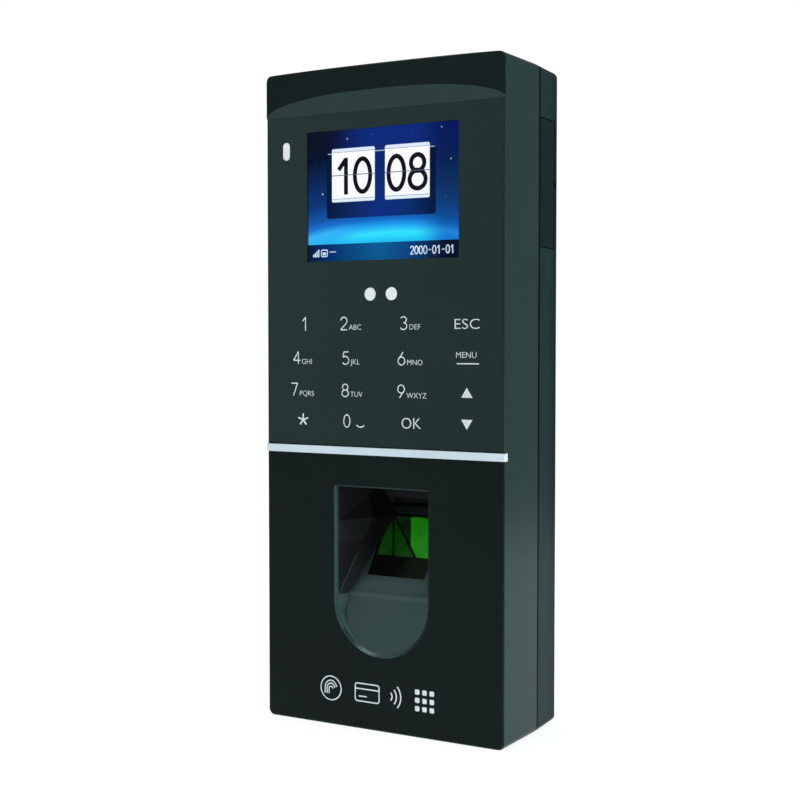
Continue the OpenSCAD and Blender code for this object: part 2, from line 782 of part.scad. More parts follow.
// Two insulated wires from the speaker up to the main board
module speaker_lead()
    for (wire = [[19, "red"], [20.2, "black"]])
        color(wire[1]) {
            x = wire[0];
            wire_d = x - 10;
            rod_x([15.1, x], 5, wire_d, 0.5, $fn = 16);
            rod_z(x, [5, 73], wire_d, 0.5, $fn = 16);
            rod_y(x, 73, [wire_d - 0.2, board_d[0]], 0.5, $fn = 16);
        }

// ---- side port ----

module port_board()
    color([0.06, 0.30, 0.16]) block([20.4, 22], [136.6, 166.4], [17.2, 28.7]);

module usb_socket()
    color([0.8, 0.81, 0.83]) difference() {
        block([22, 35.9], usb_h, usb_d);
        block([24, 36], [usb_h[0] + 0.35, usb_h[1] - 0.35], [usb_d[0] + 0.35, usb_d[1] - 0.35]);
    }

module usb_tongue()
    color([0.95, 0.95, 0.95])
        block([24, 34.4], [usb_h[0] + 1, usb_h[1] - 1], [usb_d[0] + 0.4, usb_d[0] + 2.2]);

module reset_switch()
    color([0.7, 0.71, 0.73]) difference() {
        block([22, 26], [reset_c[1] - 3, reset_c[1] + 3], [reset_c[0] - 2.6, reset_c[0] + 2.6]);
        rod_x([23.4, 27], reset_c[1], reset_c[0], 1 + pin_play);
    }

module reset_button() {
    stem_x = [24.2, port_floor_x - 0.2];
    color([0.85, 0.35, 0.2]) {
        rod_x(stem_x, reset_c[1], reset_c[0], 1);
        rod_x([31.6, 32.6], reset_c[1], reset_c[0], 1.7);
    }
}

module port_ribbon()
    color([0.85, 0.55, 0.15]) {
        block([17, 20.4], [146, 156], [18.4, 18.55]);
        block([17, 17.15], [146, 156], [board_d[1], 18.55]);
    }

// The door lies flush with the shell's tapered side and turns on a barrel at its front edge
module port_door() {
    gap = 0.25;
    door_h = [port_h[0] + gap, port_h[1] - gap];
    taper = rear_inset_x / (case_d - shell_d - 0.5);
    function side_x(d) = half_w - 0.05 - taper * (d - shell_d - 0.5);
    rest_gap = 0.15;
    color([0.11, 0.16, 0.16]) difference() {
        union() {
            rod_z(port_hinge[0], door_h, port_hinge[1], port_barrel_r);
            upwards(door_h, [
                [port_floor_x + rest_gap, port_hinge[1]],
                [port_floor_x + rest_gap, port_d[1] - gap],
                [side_x(port_d[1] - gap), port_d[1] - gap],
                [port_hinge[0] + port_barrel_r, port_hinge[1]]
            ]);
        }
        rod_z(port_hinge[0], port_h, port_hinge[1], port_pin_r + pin_play);
        // nail notch in the free edge
        rod_x([37.2, half_w + 1], (port_h[0] + port_h[1]) / 2, port_d[1], 1.2);
    }
}

module port_door_pin()
    color([0.8, 0.81, 0.83])
        rod_z(port_hinge[0], [port_h[0] - 1.5, port_h[1] + 1.5], port_hinge[1], port_pin_r);

// ---- tamper switch ----

module tamper_switch()
    color([0.1, 0.1, 0.1]) difference() {
        block([tamper_c[0] - 3, tamper_c[0] + 3], [tamper_c[1] - 3, tamper_c[1] + 3], [board_d[1], 24]);
        rod_y(tamper_c[0], tamper_c[1], [19.5, 24.1], 1.5 + pin_play);
    }

module tamper_plunger() {
    color([0.93, 0.93, 0.9]) {
        rod_y(tamper_c[0], tamper_c[1], [20.3, case_d - 0.05], 1.5);
        rod_y(tamper_c[0], tamper_c[1], [25.4, 26.4], 2.2);
    }
}

// ---- fasteners ----

module case_screws()
    color([0.55, 0.57, 0.6]) for (x = [-case_screw_x, case_screw_x], h = case_screw_h)
        pan_screw(x, h, 27, 2.4, 1.25, 14);

module case_inserts()
    color([0.85, 0.68, 0.3]) for (x = [-case_screw_x, case_screw_x], h = case_screw_h) difference() {
        rod_y(x, h, [14.5, shell_d - 0.05], 1.9);
        rod_y(x, h, [14, shell_d + eps], 1.25);
    }

module lock_insert()
    color([0.85, 0.68, 0.3]) difference() {
        rod_z(0, [4.6, 10.6], lock_d, 2.2);
        rod_z(0, [4.4, 11], lock_d, 1.5 + pin_play);
    }

wall_plate();
security_screw();
front_shell();
rear_shell();
upper_panel();
lower_panel();
trim_strip();
display_window();
status_light_pipe();
indicator_lenses();
display_gasket();
display_cell();
display_backlight();
display_frame();
display_ribbon();
touch_key_board();
key_light_guide();
key_ribbon();
antenna_board();
antenna_coil();
finger_guide();
guide_screws();
sensor_bezel();
sensor_prism();
sensor_housing();
sensor_lens();
sensor_camera_board();
sensor_light_board();
sensor_ribbon();
main_board();
board_screws();
processor_can();
memory_chips();
relay();
coin_cell_holder();
coin_cell();
network_socket();
network_contacts();
wiring_sockets();
wiring_pins();
speaker();
speaker_gasket();
speaker_lead();
port_board();
usb_socket();
usb_tongue();
reset_switch();
reset_button();
port_ribbon();
port_door();
port_door_pin();
tamper_switch();
tamper_plunger();
case_screws();
case_inserts();
lock_insert();
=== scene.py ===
"""Looks of the wall-mounted fingerprint and card terminal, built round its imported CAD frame.

The row frame is in metres: X to the right as the user faces the terminal, the front faces -Y, +Z is up.
Places on the front are given in millimetres as x across, h above a datum just over the case's bottom edge
and d behind the flat of the front, which is how the part's source gives them too.
"""

import json
import math

import bmesh
import bpy
from mathutils import Matrix, Vector


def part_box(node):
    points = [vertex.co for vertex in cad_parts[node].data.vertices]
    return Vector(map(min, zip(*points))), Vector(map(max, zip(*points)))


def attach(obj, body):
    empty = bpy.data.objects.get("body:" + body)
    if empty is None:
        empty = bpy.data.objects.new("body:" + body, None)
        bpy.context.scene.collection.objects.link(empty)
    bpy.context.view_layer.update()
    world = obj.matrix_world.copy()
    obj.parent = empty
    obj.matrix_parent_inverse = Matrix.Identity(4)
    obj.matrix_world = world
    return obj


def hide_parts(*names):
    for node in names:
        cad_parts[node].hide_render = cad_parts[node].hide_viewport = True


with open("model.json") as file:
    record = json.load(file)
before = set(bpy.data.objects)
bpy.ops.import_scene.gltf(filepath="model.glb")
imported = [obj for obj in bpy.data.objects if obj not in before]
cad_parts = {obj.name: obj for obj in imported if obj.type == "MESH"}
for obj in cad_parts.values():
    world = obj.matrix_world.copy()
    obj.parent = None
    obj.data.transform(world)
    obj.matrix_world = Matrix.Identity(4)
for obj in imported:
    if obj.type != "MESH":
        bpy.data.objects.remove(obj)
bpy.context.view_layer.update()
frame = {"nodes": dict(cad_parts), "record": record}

MM = 0.001
NODES = frame["nodes"]
BODY_OF_NODE = {
    node: body for body, members in frame["record"]["behaviour"]["bodies"].items() for node in members
}
SLOT_OF_NODE = {part["node"]: part["material_slot"] for part in frame["record"]["subparts"]}

# ---- places ----

case_low, case_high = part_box("front_shell")
window_low, window_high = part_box("display_window")
BOTTOM = case_low.z
DATUM = BOTTOM + 0.5 * MM
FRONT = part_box("upper_panel")[0].y

# Heights above the datum and depths behind the front's flat, in mm
PARTING = (case_high.y - FRONT) / MM
CASE_DEPTH = (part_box("rear_shell")[1].y - FRONT) / MM
STRIP_TOP = 78.8
VISOR_FOOT = 171.3
RIM_DEPTH = 0.85
WELL_BACK = 19.9
GROOVE_DEPTH = 20.8

# The crest of the scoop as (h, d), and the seam on the well's side walls: its foot and its slope
CREST = (36.2, 4.0)
SEAM_FOOT = (37.0, 1.2)
SEAM_SLOPE = 1.864


def spot(x, h, d):
    """The point x across, h above the datum and d behind the flat of the front, all in mm."""
    return Vector((x * MM, FRONT + d * MM, DATUM + h * MM))


def height_of(z):
    """Height above the datum, in mm, of a level in the row frame."""
    return (z - DATUM) / MM


# ---- camera ----

CAMERA_PLACE = (0.2039, -0.3710, 0.01688)
CAMERA_TURN = 30.33
CAMERA_DIP = 2.398
CAMERA_LENS = 64.55


def make_camera():
    """The camera at the right of the front, looking a little down."""
    data = bpy.data.cameras.new("camera")
    data.sensor_width = 36
    data.lens = CAMERA_LENS
    data.clip_start = 0.01
    camera = bpy.data.objects.new("camera", data)
    camera.location = CAMERA_PLACE
    camera.rotation_euler = (math.radians(90 - CAMERA_DIP), 0, math.radians(CAMERA_TURN))
    bpy.context.scene.collection.objects.link(camera)
    bpy.context.scene.camera = camera


# ---- stage and light ----

FLOOR_RADIUS = 0.42
DOME_RADIUS = 3.0


def link(name, mesh):
    """A new object in the scene with this mesh."""
    piece = bpy.data.objects.new(name, mesh)
    bpy.context.scene.collection.objects.link(piece)
    return piece


def make_floor():
    """A pale round floor under the case, lit a little from itself so that it stays even."""
    shape = bmesh.new()
    bmesh.ops.create_circle(shape, cap_ends=True, segments=96, radius=FLOOR_RADIUS)
    mesh = bpy.data.meshes.new("floor")
    shape.to_mesh(mesh)
    floor = link("floor", mesh)
    floor.location.z = BOTTOM
    finish = Finish("floor_paper", {"Roughness": 0.9, "Specular IOR Level": 0.1})
    tone = finish.ramp(finish.noise(60), [(0.3, (0.27, 0.27, 0.27)), (0.7, (0.29, 0.29, 0.29))])
    finish.set("Base Color", tone)
    finish.set("Emission Color", (1, 1, 1, 1))
    finish.set("Emission Strength", 0.78)
    mesh.materials.append(finish.material)


def make_backdrop():
    """A white dome that only the camera sees, so that it doesn't light the object."""
    shape = bmesh.new()
    bmesh.ops.create_uvsphere(shape, u_segments=48, v_segments=24, radius=DOME_RADIUS)
    mesh = bpy.data.meshes.new("backdrop")
    shape.to_mesh(mesh)
    dome = link("backdrop", mesh)
    material = bpy.data.materials.new("backdrop_white")
    material.use_nodes = True
    shader = material.node_tree.nodes["Principled BSDF"]
    shader.inputs["Base Color"].default_value = (0, 0, 0, 1)
    shader.inputs["Specular IOR Level"].default_value = 0
    shader.inputs["Emission Color"].default_value = (1, 1, 1, 1)
    shader.inputs["Emission Strength"].default_value = 1
    mesh.materials.append(material)
    dome.visible_diffuse = False
    dome.visible_glossy = False
    dome.visible_transmission = False
    dome.visible_volume_scatter = False
    dome.visible_shadow = False


def make_softbox(name, place, size, watts, colour=(1, 1, 1)):
    """A square area light at place that faces the terminal."""
    data = bpy.data.lights.new(name, "AREA")
    data.shape = "SQUARE"
    data.size = size
    data.energy = watts
    data.color = colour
    light = bpy.data.objects.new(name, data)
    light.location = place
    light.rotation_euler = (-Vector(place)).to_track_quat("-Z", "Y").to_euler()
    light.visible_camera = False
    bpy.context.scene.collection.objects.link(light)
    return light


def make_lights():
    """Soft studio light: from above, from high at the front left, and along the right side."""
    make_softbox("light_above", (0.0, 0.25, 1.3), 1.4, 12)
    make_softbox("light_front", (-0.55, -0.9, 1.0), 0.7, 13.5)
    side = make_softbox("light_right", (0.9, 0.12, 0.1), 0.5, 18, (0.68, 1, 1))
    side.visible_glossy = False


def make_room():
    """The room round the stage: dim in front of the terminal and lighter behind it."""
    world = bpy.data.worlds.new("studio")
    world.use_nodes = True
    tree = world.node_tree
    towards = tree.nodes.new("ShaderNodeTexCoord").outputs["Generated"]
    split = tree.nodes.new("ShaderNodeSeparateXYZ")
    tree.links.new(towards, split.inputs[0])
    glow = tree.nodes.new("ShaderNodeMapRange")
    tree.links.new(split.outputs["Y"], glow.inputs["Value"])
    for socket, value in {"From Min": -0.4, "From Max": 0.8, "To Min": 0.06, "To Max": 0.2}.items():
        glow.inputs[socket].default_value = value
    tree.links.new(glow.outputs[0], tree.nodes["Background"].inputs["Strength"])
    tree.nodes["Background"].inputs["Color"].default_value = (1, 1, 1, 1)
    bpy.context.scene.world = world
    bpy.context.scene.view_settings.view_transform = "Standard"


# ---- materials ----


def srgb(red, green, blue):
    """A colour given as 0 to 255 on a display, as the linear colour that shaders use."""
    linear = []
    for value in (red, green, blue):
        v = value / 255
        linear.append(v / 12.92 if v <= 0.04045 else ((v + 0.055) / 1.055) ** 2.4)
    return (*linear, 1)


def scaled(colour, factor):
    """The colour made lighter or darker."""
    return (*(channel * factor for channel in colour[:3]), 1)


class Finish:
    """A procedural material. Sizes of its patterns are in mm, on the piece's own coordinates."""

    def __init__(self, name, values=None):
        self.material = bpy.data.materials.new(name)
        self.material.use_nodes = True
        self.tree = self.material.node_tree
        self.shader = self.tree.nodes["Principled BSDF"]
        self.coords = self.tree.nodes.new("ShaderNodeTexCoord").outputs["Object"]
        for socket, value in (values or {}).items():
            self.set(socket, value)

    def set(self, socket, value):
        """Sets or links one of the shader's sockets."""
        self.feed(self.shader.inputs[socket], value)

    def feed(self, socket, value):
        """Links value into socket if it is a node's output, and otherwise sets it."""
        if isinstance(value, bpy.types.NodeSocket):
            self.tree.links.new(value, socket)
        else:
            socket.default_value = value

    def add(self, kind, inputs=None, **settings):
        """A new node of this kind; its inputs are named, or numbered where names repeat."""
        node = self.tree.nodes.new("ShaderNode" + kind)
        for key, value in settings.items():
            setattr(node, key, value)
        for key, value in (inputs or {}).items():
            self.feed(node.inputs[key], value)
        return node

    def noise(self, size, detail=3, stretch=(1, 1, 1)):
        """Soft noise with features of this size."""
        stretched = self.add("Mapping", {"Vector": self.coords, "Scale": stretch}).outputs[0]
        inputs = {"Vector": stretched, "Scale": 1 / (size * MM), "Detail": detail}
        return self.add("TexNoise", inputs).outputs["Fac"]

    def places(self):
        """Sockets with a point's x, h and d in mm, measured as in spot()."""
        inputs = {0: self.coords, 1: spot(0, 0, 0)}
        offset = self.add("VectorMath", inputs, operation="SUBTRACT").outputs[0]
        inputs = {0: offset, 1: (1 / MM, 1 / MM, 1 / MM)}
        in_mm = self.add("VectorMath", inputs, operation="MULTIPLY").outputs[0]
        parts = self.add("SeparateXYZ", {0: in_mm}).outputs
        return parts["X"], parts["Z"], parts["Y"]

    def facing(self):
        """Sockets with the x, y and z of the face's own direction."""
        return self.add("SeparateXYZ", {0: self.add("NewGeometry").outputs["True Normal"]}).outputs

    def along(self, value, start, end, smooth=False):
        """0 to 1 as value goes from start to end."""
        inputs = {"Value": value, "From Min": start, "From Max": end}
        how = "SMOOTHSTEP" if smooth else "LINEAR"
        return self.add("MapRange", inputs, interpolation_type=how).outputs[0]

    def ramp(self, factor, stops):
        """A colour ramp over factor, from (position, colour) stops."""
        node = self.add("ValToRGB", {"Fac": factor})
        elements = node.color_ramp.elements
        while len(elements) < len(stops):
            elements.new(0.5)
        for element, (position, colour) in zip(elements, stops):
            element.position = position
            element.color = (*colour[:3], 1)
        return node.outputs["Color"]

    def spread(self, factor, low, high):
        """Maps a factor of 0 to 1 to the range low to high."""
        return self.add("MapRange", {"Value": factor, "To Min": low, "To Max": high}).outputs[0]

    def math(self, operation, first, second=0.0):
        """One sum on numbers."""
        return self.add("Math", {0: first, 1: second}, operation=operation).outputs[0]

    def over(self, value, level):
        """1 where value is over the level, and otherwise 0."""
        return self.math("GREATER_THAN", value, level)

    def under(self, value, level):
        """1 where value is under the level, and otherwise 0."""
        return self.math("LESS_THAN", value, level)

    def size_of(self, value):
        """The value without its sign."""
        return self.math("ABSOLUTE", value)

    def both(self, first, second):
        """The overlap of two masks."""
        return self.math("MULTIPLY", first, second)

    def mix(self, factor, first, second):
        """A mixture of two colours."""
        return self.add("Mix", {0: factor, 6: first, 7: second}, data_type="RGBA").outputs[2]

    def bump(self, height, depth, strength=1.0, base=None):
        """A bump normal from height, depth mm tall, on top of another normal if one is given."""
        inputs = {"Height": height, "Distance": depth * MM, "Strength": strength}
        if base:
            inputs["Normal"] = base
        return self.add("Bump", inputs).outputs[0]

    def edges(self, radius):
        """About 1 along edges and 0 on flats: how far a rounded normal turns from the true one."""
        rounded = self.add("Bevel", {"Radius": radius * MM}, samples=4).outputs[0]
        true = self.add("NewGeometry").outputs["True Normal"]
        turn = self.add("VectorMath", {0: rounded, 1: true}, operation="DOT_PRODUCT").outputs["Value"]
        return self.along(turn, 0.995, 0.85)


def moulded_finish(name, colour, roughness, gloss, grain=0.35, depth=0.004, sheen=(1, 1, 1, 1), edge_highlight_amount=1.0):
    """Moulded plastic: fine eroded grain, faint flow marks, and a patchy painted highlight that makes edges
    a little lighter.
    """
    finish = Finish(name, {"Specular IOR Level": gloss, "Specular Tint": sheen})
    cloud = finish.noise(14, 4)
    tone = finish.ramp(cloud, [(0.3, scaled(colour, 0.93)), (0.7, scaled(colour, 1.07))])
    # Painted highlight: edges are mixed towards a lighter copy of the colour, unevenly through noise.
    patchy = finish.spread(finish.noise(3, 5), 0.1 * edge_highlight_amount, 0.45 * edge_highlight_amount)
    painted_edge_highlight = finish.both(finish.edges(0.35), patchy)
    finish.set("Base Color", finish.mix(painted_edge_highlight, tone, scaled(colour, 1.7)))
    finish.set("Roughness", finish.spread(finish.noise(5, 3), roughness - 0.06, roughness + 0.06))
    coarse = finish.bump(finish.noise(grain * 3, 2), depth)
    finish.set("Normal", finish.bump(finish.noise(grain, 3), depth, 0.8, coarse))
    return finish


def moulded(*settings):
    """The material of moulded_finish."""
    return moulded_finish(*settings).material


def retouched(finish, where, tone):
    """Gives the finish another base colour where a mask is 1."""
    base = finish.shader.inputs["Base Color"].links[0].from_socket
    finish.set("Base Color", finish.mix(where, base, tone))


def polished_finish(name, colour, roughness, gloss, smudge=0.05):
    """A smooth lacquered face with faint wipe marks in its gloss."""
    finish = Finish(name, {"Specular IOR Level": gloss})
    cloud = finish.noise(22, 2)
    finish.set("Base Color", finish.ramp(cloud, [(0.3, scaled(colour, 0.95)), (0.7, scaled(colour, 1.05))]))
    wipes = finish.noise(2.5, 4, (1, 1, 0.25))
    finish.set("Roughness", finish.spread(wipes, roughness - smudge, roughness + smudge))
    finish.set("Normal", finish.bump(finish.noise(1.2, 2), 0.002))
    return finish


def polished(*settings):
    """The material of polished_finish."""
    return polished_finish(*settings).material


def shell_plastic(name, colour, roughness, gloss):
    """The shell's satin plastic: painted light makes the crescent under the visor lighter, the lip matches
    the upper panel.
    """
    finish = moulded_finish(name, colour, roughness, gloss, 0.35, 0.0002, TEAL_SHEEN, 0.1)
    facing = finish.facing()
    # Painted light: faces turned down and to the front, the crescent under the visor, get a much lighter
    # copy of the colour.
    crescent = finish.both(finish.under(facing["Z"], -0.15), finish.under(facing["Y"], -0.8))
    retouched(finish, crescent, scaled(colour, 3.6))
    _, h, _ = finish.places()
    beside_panel = finish.both(finish.over(h, STRIP_TOP), finish.under(h, VISOR_FOOT))
    lip = finish.both(finish.along(facing["Y"], -0.3, -0.6), beside_panel)
    retouched(finish, lip, PANEL_TONE)
    return finish.material


def rear_plastic(name, colour):
    """The rear shell's plastic, with painted shade where it dips under the front shell's edge and painted
    shade towards the wall.
    """
    finish = moulded_finish(name, colour, 0.32, 0.035, 0.35, 0.0005, TEAL_SHEEN)
    _, _, d = finish.places()
    # Painted shadow: a dark band just behind the front shell's edge.
    retouched(finish, finish.along(d, PARTING + 1.35, PARTING + 0.85), scaled(colour, 0.1))
    # Painted shade: darker over the last 5 mm towards the wall.
    retouched(finish, finish.along(d, CASE_DEPTH - 5, CASE_DEPTH), scaled(colour, 0.5))
    return finish.material


def trim_silver(name, colour):
    """Silver lacquer, with painted shade where the strip wraps round its right side."""
    finish = polished_finish(name, colour, 0.35, 0.4)
    # Painted shade: faces turned to +X get a darker copy of the silver.
    retouched(finish, finish.over(finish.facing()["X"], 0.5), scaled(srgb(235, 226, 228), 0.5))
    return finish.material


def panel_lacquer(name, colour):
    """The upper panel's lacquer, with painted light that makes it a touch paler towards its top left."""
    finish = polished_finish(name, colour, 0.3, 0.06)
    x, h, _ = finish.places()
    # Painted light: the colour grows paler towards the left and the top.
    painted_light_gradient = finish.math("ADD", finish.along(x, 38, -38), finish.along(h, 80, 172))
    retouched(finish, finish.math("MULTIPLY", painted_light_gradient, 0.5), scaled(colour, 1.3))
    return finish.material


def shelf_plastic(name, colour):
    """Dull black plastic round the sensor's glass, deepest in the shade of the well's left wall."""
    finish = moulded_finish(name, colour, 0.8, 0.03)
    x, _, _ = finish.places()
    retouched(finish, finish.along(x, 5, -1, smooth=True), scaled(colour, 0.15))
    return finish.material


def scoop_tone(finish, colour, facing, h):
    """The scoop's colour: a cloudy tone, with painted light on its sideways faces, painted shade on its
    upward faces and a painted highlight over the crest.
    """
    cloud = finish.noise(14, 4)
    tone = finish.ramp(cloud, [(0.3, scaled(colour, 0.95)), (0.7, scaled(colour, 1.05))])
    # Painted light: faces turned sideways get a lighter copy of the colour.
    painted_side_light = finish.along(finish.size_of(facing["X"]), 0.25, 1.0)
    tone = finish.mix(painted_side_light, tone, scaled(colour, 1.5))
    # Painted shade: faces turned up get a darker tone.
    tone = finish.mix(finish.over(facing["Z"], 0.4), tone, srgb(43, 63, 63))
    # Painted highlight: a soft lighter band along the crest.
    off_crest = finish.size_of(finish.math("SUBTRACT", h, CREST[0] + 0.3))
    return finish.mix(finish.along(off_crest, 0.9, 0.2, smooth=True), tone, scaled(colour, 1.3))


def painted_well_shade(finish, facing, h, d):
    """Painted shade on the well's walls, deepening with depth: two shades parted by the seam, lighter
    painted tones on faces turned down and high on the walls, and the seam's light line, a painted highlight.
    """
    above = [(0, srgb(32, 38, 37)), (0.5, srgb(28, 32, 31)), (1, srgb(23, 26, 25))]
    # Painted shade above the seam: darker the deeper into the well.
    wall_shade = finish.ramp(finish.along(d, 1, 16), above)
    # Faces turned down get a lighter painted tone.
    wall_shade = finish.mix(finish.along(facing["Z"], -0.01, -0.05), wall_shade, srgb(38, 44, 43))
    # Painted light: over the shadow edge high on the walls, from about 50 to 52 mm, the tone grows lighter.
    wall_shade = finish.mix(finish.along(h, 50.3, 52.3), wall_shade, srgb(42, 48, 47))
    below = [(0, srgb(40, 52, 52)), (0.45, srgb(36, 43, 43)), (1, srgb(26, 30, 29))]
    # Painted shade below the seam: darker the deeper into the well.
    shade_below_seam = finish.ramp(finish.along(d, 1, 12), below)
    rise = finish.math("MULTIPLY", finish.math("SUBTRACT", d, SEAM_FOOT[1]), SEAM_SLOPE)
    over_seam = finish.math("SUBTRACT", finish.math("SUBTRACT", h, SEAM_FOOT[0]), rise)
    wall_shade = finish.mix(finish.along(over_seam, -0.2, 0.3), shade_below_seam, wall_shade)
    # Painted highlight: a thin light line along the seam near the mouth.
    seam_highlight = finish.both(finish.under(finish.size_of(over_seam), 0.3), finish.under(d, 6.8))
    return finish.mix(seam_highlight, wall_shade, srgb(66, 82, 82))


def rim_touches(finish, tone, facing, d):
    """The mouth's bevelled rim: a glint at its lower left, and shade down its right side."""
    rim = finish.along(d, RIM_DEPTH + 0.05, RIM_DEPTH)
    glint = finish.both(rim, finish.along(facing["Z"], 0.5, 0.64))
    glint = finish.both(glint, finish.along(facing["X"], 0.05, 0.2))
    glint = finish.both(glint, finish.along(facing["X"], 0.45, 0.3))
    tone = finish.mix(glint, tone, srgb(96, 112, 116))
    shaded = finish.both(finish.along(facing["X"], -0.2, -0.7, smooth=True), rim)
    return finish.mix(shaded, tone, scaled(srgb(24, 33, 32), 0.8))


def guide_plastic(name, colour):
    """Moulded plastic of the scoop; the well behind the mouth's rim is darkened with painted shade."""
    finish = Finish(name, {"Specular IOR Level": 0.12, "Roughness": 0.5})
    facing = finish.facing()
    _, h, d = finish.places()
    behind_rim = finish.over(d, RIM_DEPTH)
    sideways = finish.over(finish.size_of(facing["X"]), 0.35)
    hanging = finish.under(facing["Z"], -0.3)

    # Painted light: the side walls under the crest get a lighter copy of the colour.
    painted_low_wall_light = finish.both(finish.both(sideways, behind_rim), finish.along(h, 36.6, 36.4))
    tone = finish.mix(painted_low_wall_light, scoop_tone(finish, colour, facing, h), scaled(colour, 2.0))
    # Painted shade on the well's walls above the crest.
    wall = finish.both(finish.math("MAXIMUM", sideways, hanging), behind_rim)
    wall = finish.both(wall, finish.over(h, 36.6))
    tone = finish.mix(wall, tone, painted_well_shade(finish, facing, h, d))

    # Painted shade on the well's back wall, near black in its groove.
    back = finish.both(finish.under(facing["Y"], -0.98), finish.over(d, WELL_BACK))
    bands = finish.mix(finish.over(d, GROOVE_DEPTH), srgb(32, 40, 40), srgb(3, 5, 4))
    tone = finish.mix(back, tone, bands)
    finish.set("Base Color", rim_touches(finish, tone, facing, d))
    finish.set("Normal", finish.bump(finish.noise(0.4, 3), 0.002))
    return finish.material


def metal(name, colour, roughness, stretch=(1, 1, 1), grain=0.4):
    """Plated or drawn metal: its grain runs along the direction that is least stretched."""
    finish = Finish(name, {"Metallic": 1})
    lines = finish.noise(grain, 4, stretch)
    cloud = finish.noise(9, 4)
    finish.set("Base Color", finish.ramp(cloud, [(0.25, scaled(colour, 0.8)), (0.75, colour)]))
    finish.set("Roughness", finish.spread(lines, roughness - 0.08, roughness + 0.12))
    finish.set("Normal", finish.bump(lines, 0.004))
    return finish.material


def circuit_board(name, colour):
    """Solder mask over copper tracks, with tinned pads."""
    finish = Finish(name, {"Roughness": 0.35, "Specular IOR Level": 0.5})
    inputs = {"Vector": finish.coords, "Scale": 1 / (1.6 * MM), "Randomness": 0.35}
    cells = finish.add("TexVoronoi", inputs, feature="DISTANCE_TO_EDGE")
    track = finish.ramp(cells.outputs["Distance"], [(0.06, scaled(colour, 1.9)), (0.09, colour)])
    dots = finish.add("TexVoronoi", {"Vector": finish.coords, "Scale": 1 / (2.6 * MM), "Randomness": 0.3})
    pad = finish.ramp(dots.outputs["Distance"], [(0.14, (1, 1, 1)), (0.17, (0, 0, 0))])
    finish.set("Base Color", finish.mix(pad, track, srgb(190, 196, 196)))
    finish.set("Normal", finish.bump(cells.outputs["Distance"], 0.03, 0.4))
    return finish.material


def ribbon_film(name):
    """Amber film over parallel copper tracks."""
    finish = Finish(name, {"Roughness": 0.3, "Specular IOR Level": 0.5})
    waves = finish.add("TexWave", {"Vector": finish.coords, "Scale": 320.0}, bands_direction="X")
    tracks = finish.ramp(waves.outputs["Fac"], [(0.45, srgb(150, 82, 22)), (0.6, srgb(206, 138, 50))])
    finish.set("Base Color", tracks)
    finish.set("Normal", finish.bump(waves.outputs["Fac"], 0.02, 0.5))
    return finish.material


def foam(name, colour):
    """Open-celled gasket foam."""
    finish = Finish(name, {"Roughness": 0.95, "Specular IOR Level": 0.1})
    cells = finish.add("TexVoronoi", {"Vector": finish.coords, "Scale": 1 / (0.4 * MM)}).outputs["Distance"]
    finish.set("Base Color", finish.ramp(cells, [(0.0, scaled(colour, 0.3)), (0.6, colour)]))
    finish.set("Normal", finish.bump(cells, 0.15))
    return finish.material


def clear(name, tint, roughness, ior):
    """A clear pane with the faintest wipe marks."""
    inputs = {"Base Color": tint, "Transmission Weight": 1, "IOR": ior, "Specular IOR Level": 0.05}
    finish = Finish(name, inputs)
    finish.set("Roughness", finish.spread(finish.noise(6, 4), roughness * 0.5, roughness * 1.5))
    return finish.material


def frosted(name, colour, roughness=0.45, glow=0.0):
    """Milky plastic that light diffuses in."""
    finish = Finish(name, {"Subsurface Weight": 0.3, "Subsurface Scale": 0.002, "Specular IOR Level": 0.35})
    cloud = finish.noise(1.5, 3)
    finish.set("Base Color", finish.ramp(cloud, [(0.3, scaled(colour, 0.95)), (0.7, colour)]))
    finish.set("Roughness", finish.spread(finish.noise(0.6, 2), roughness - 0.05, roughness + 0.05))
    finish.set("Normal", finish.bump(finish.noise(0.25, 2), 0.002))
    finish.set("Emission Color", colour)
    finish.set("Emission Strength", glow)
    return finish.material


def lit(name, roughness, gloss):
    """A finish that is black but for the light it gives."""
    return Finish(name, {"Base Color": (0, 0, 0, 1), "Roughness": roughness, "Specular IOR Level": gloss})


def glowing(name, stops, size=6, strength=1.0):
    """A lit face whose tone drifts a little between the stops."""
    finish = lit(name, 0.5, 0.1)
    finish.set("Emission Color", finish.ramp(finish.noise(size, 2), stops))
    finish.set("Emission Strength", strength)
    return finish.material


SHELL_TONE = srgb(26, 36, 35)
REAR_TONE = srgb(22, 31, 31)
PANEL_TONE = srgb(38, 52, 52)
TEAL_SHEEN = (0.5, 0.95, 1, 1)
GREEN_STOPS = [(0.3, srgb(60, 220, 70)), (0.7, srgb(90, 255, 90))]

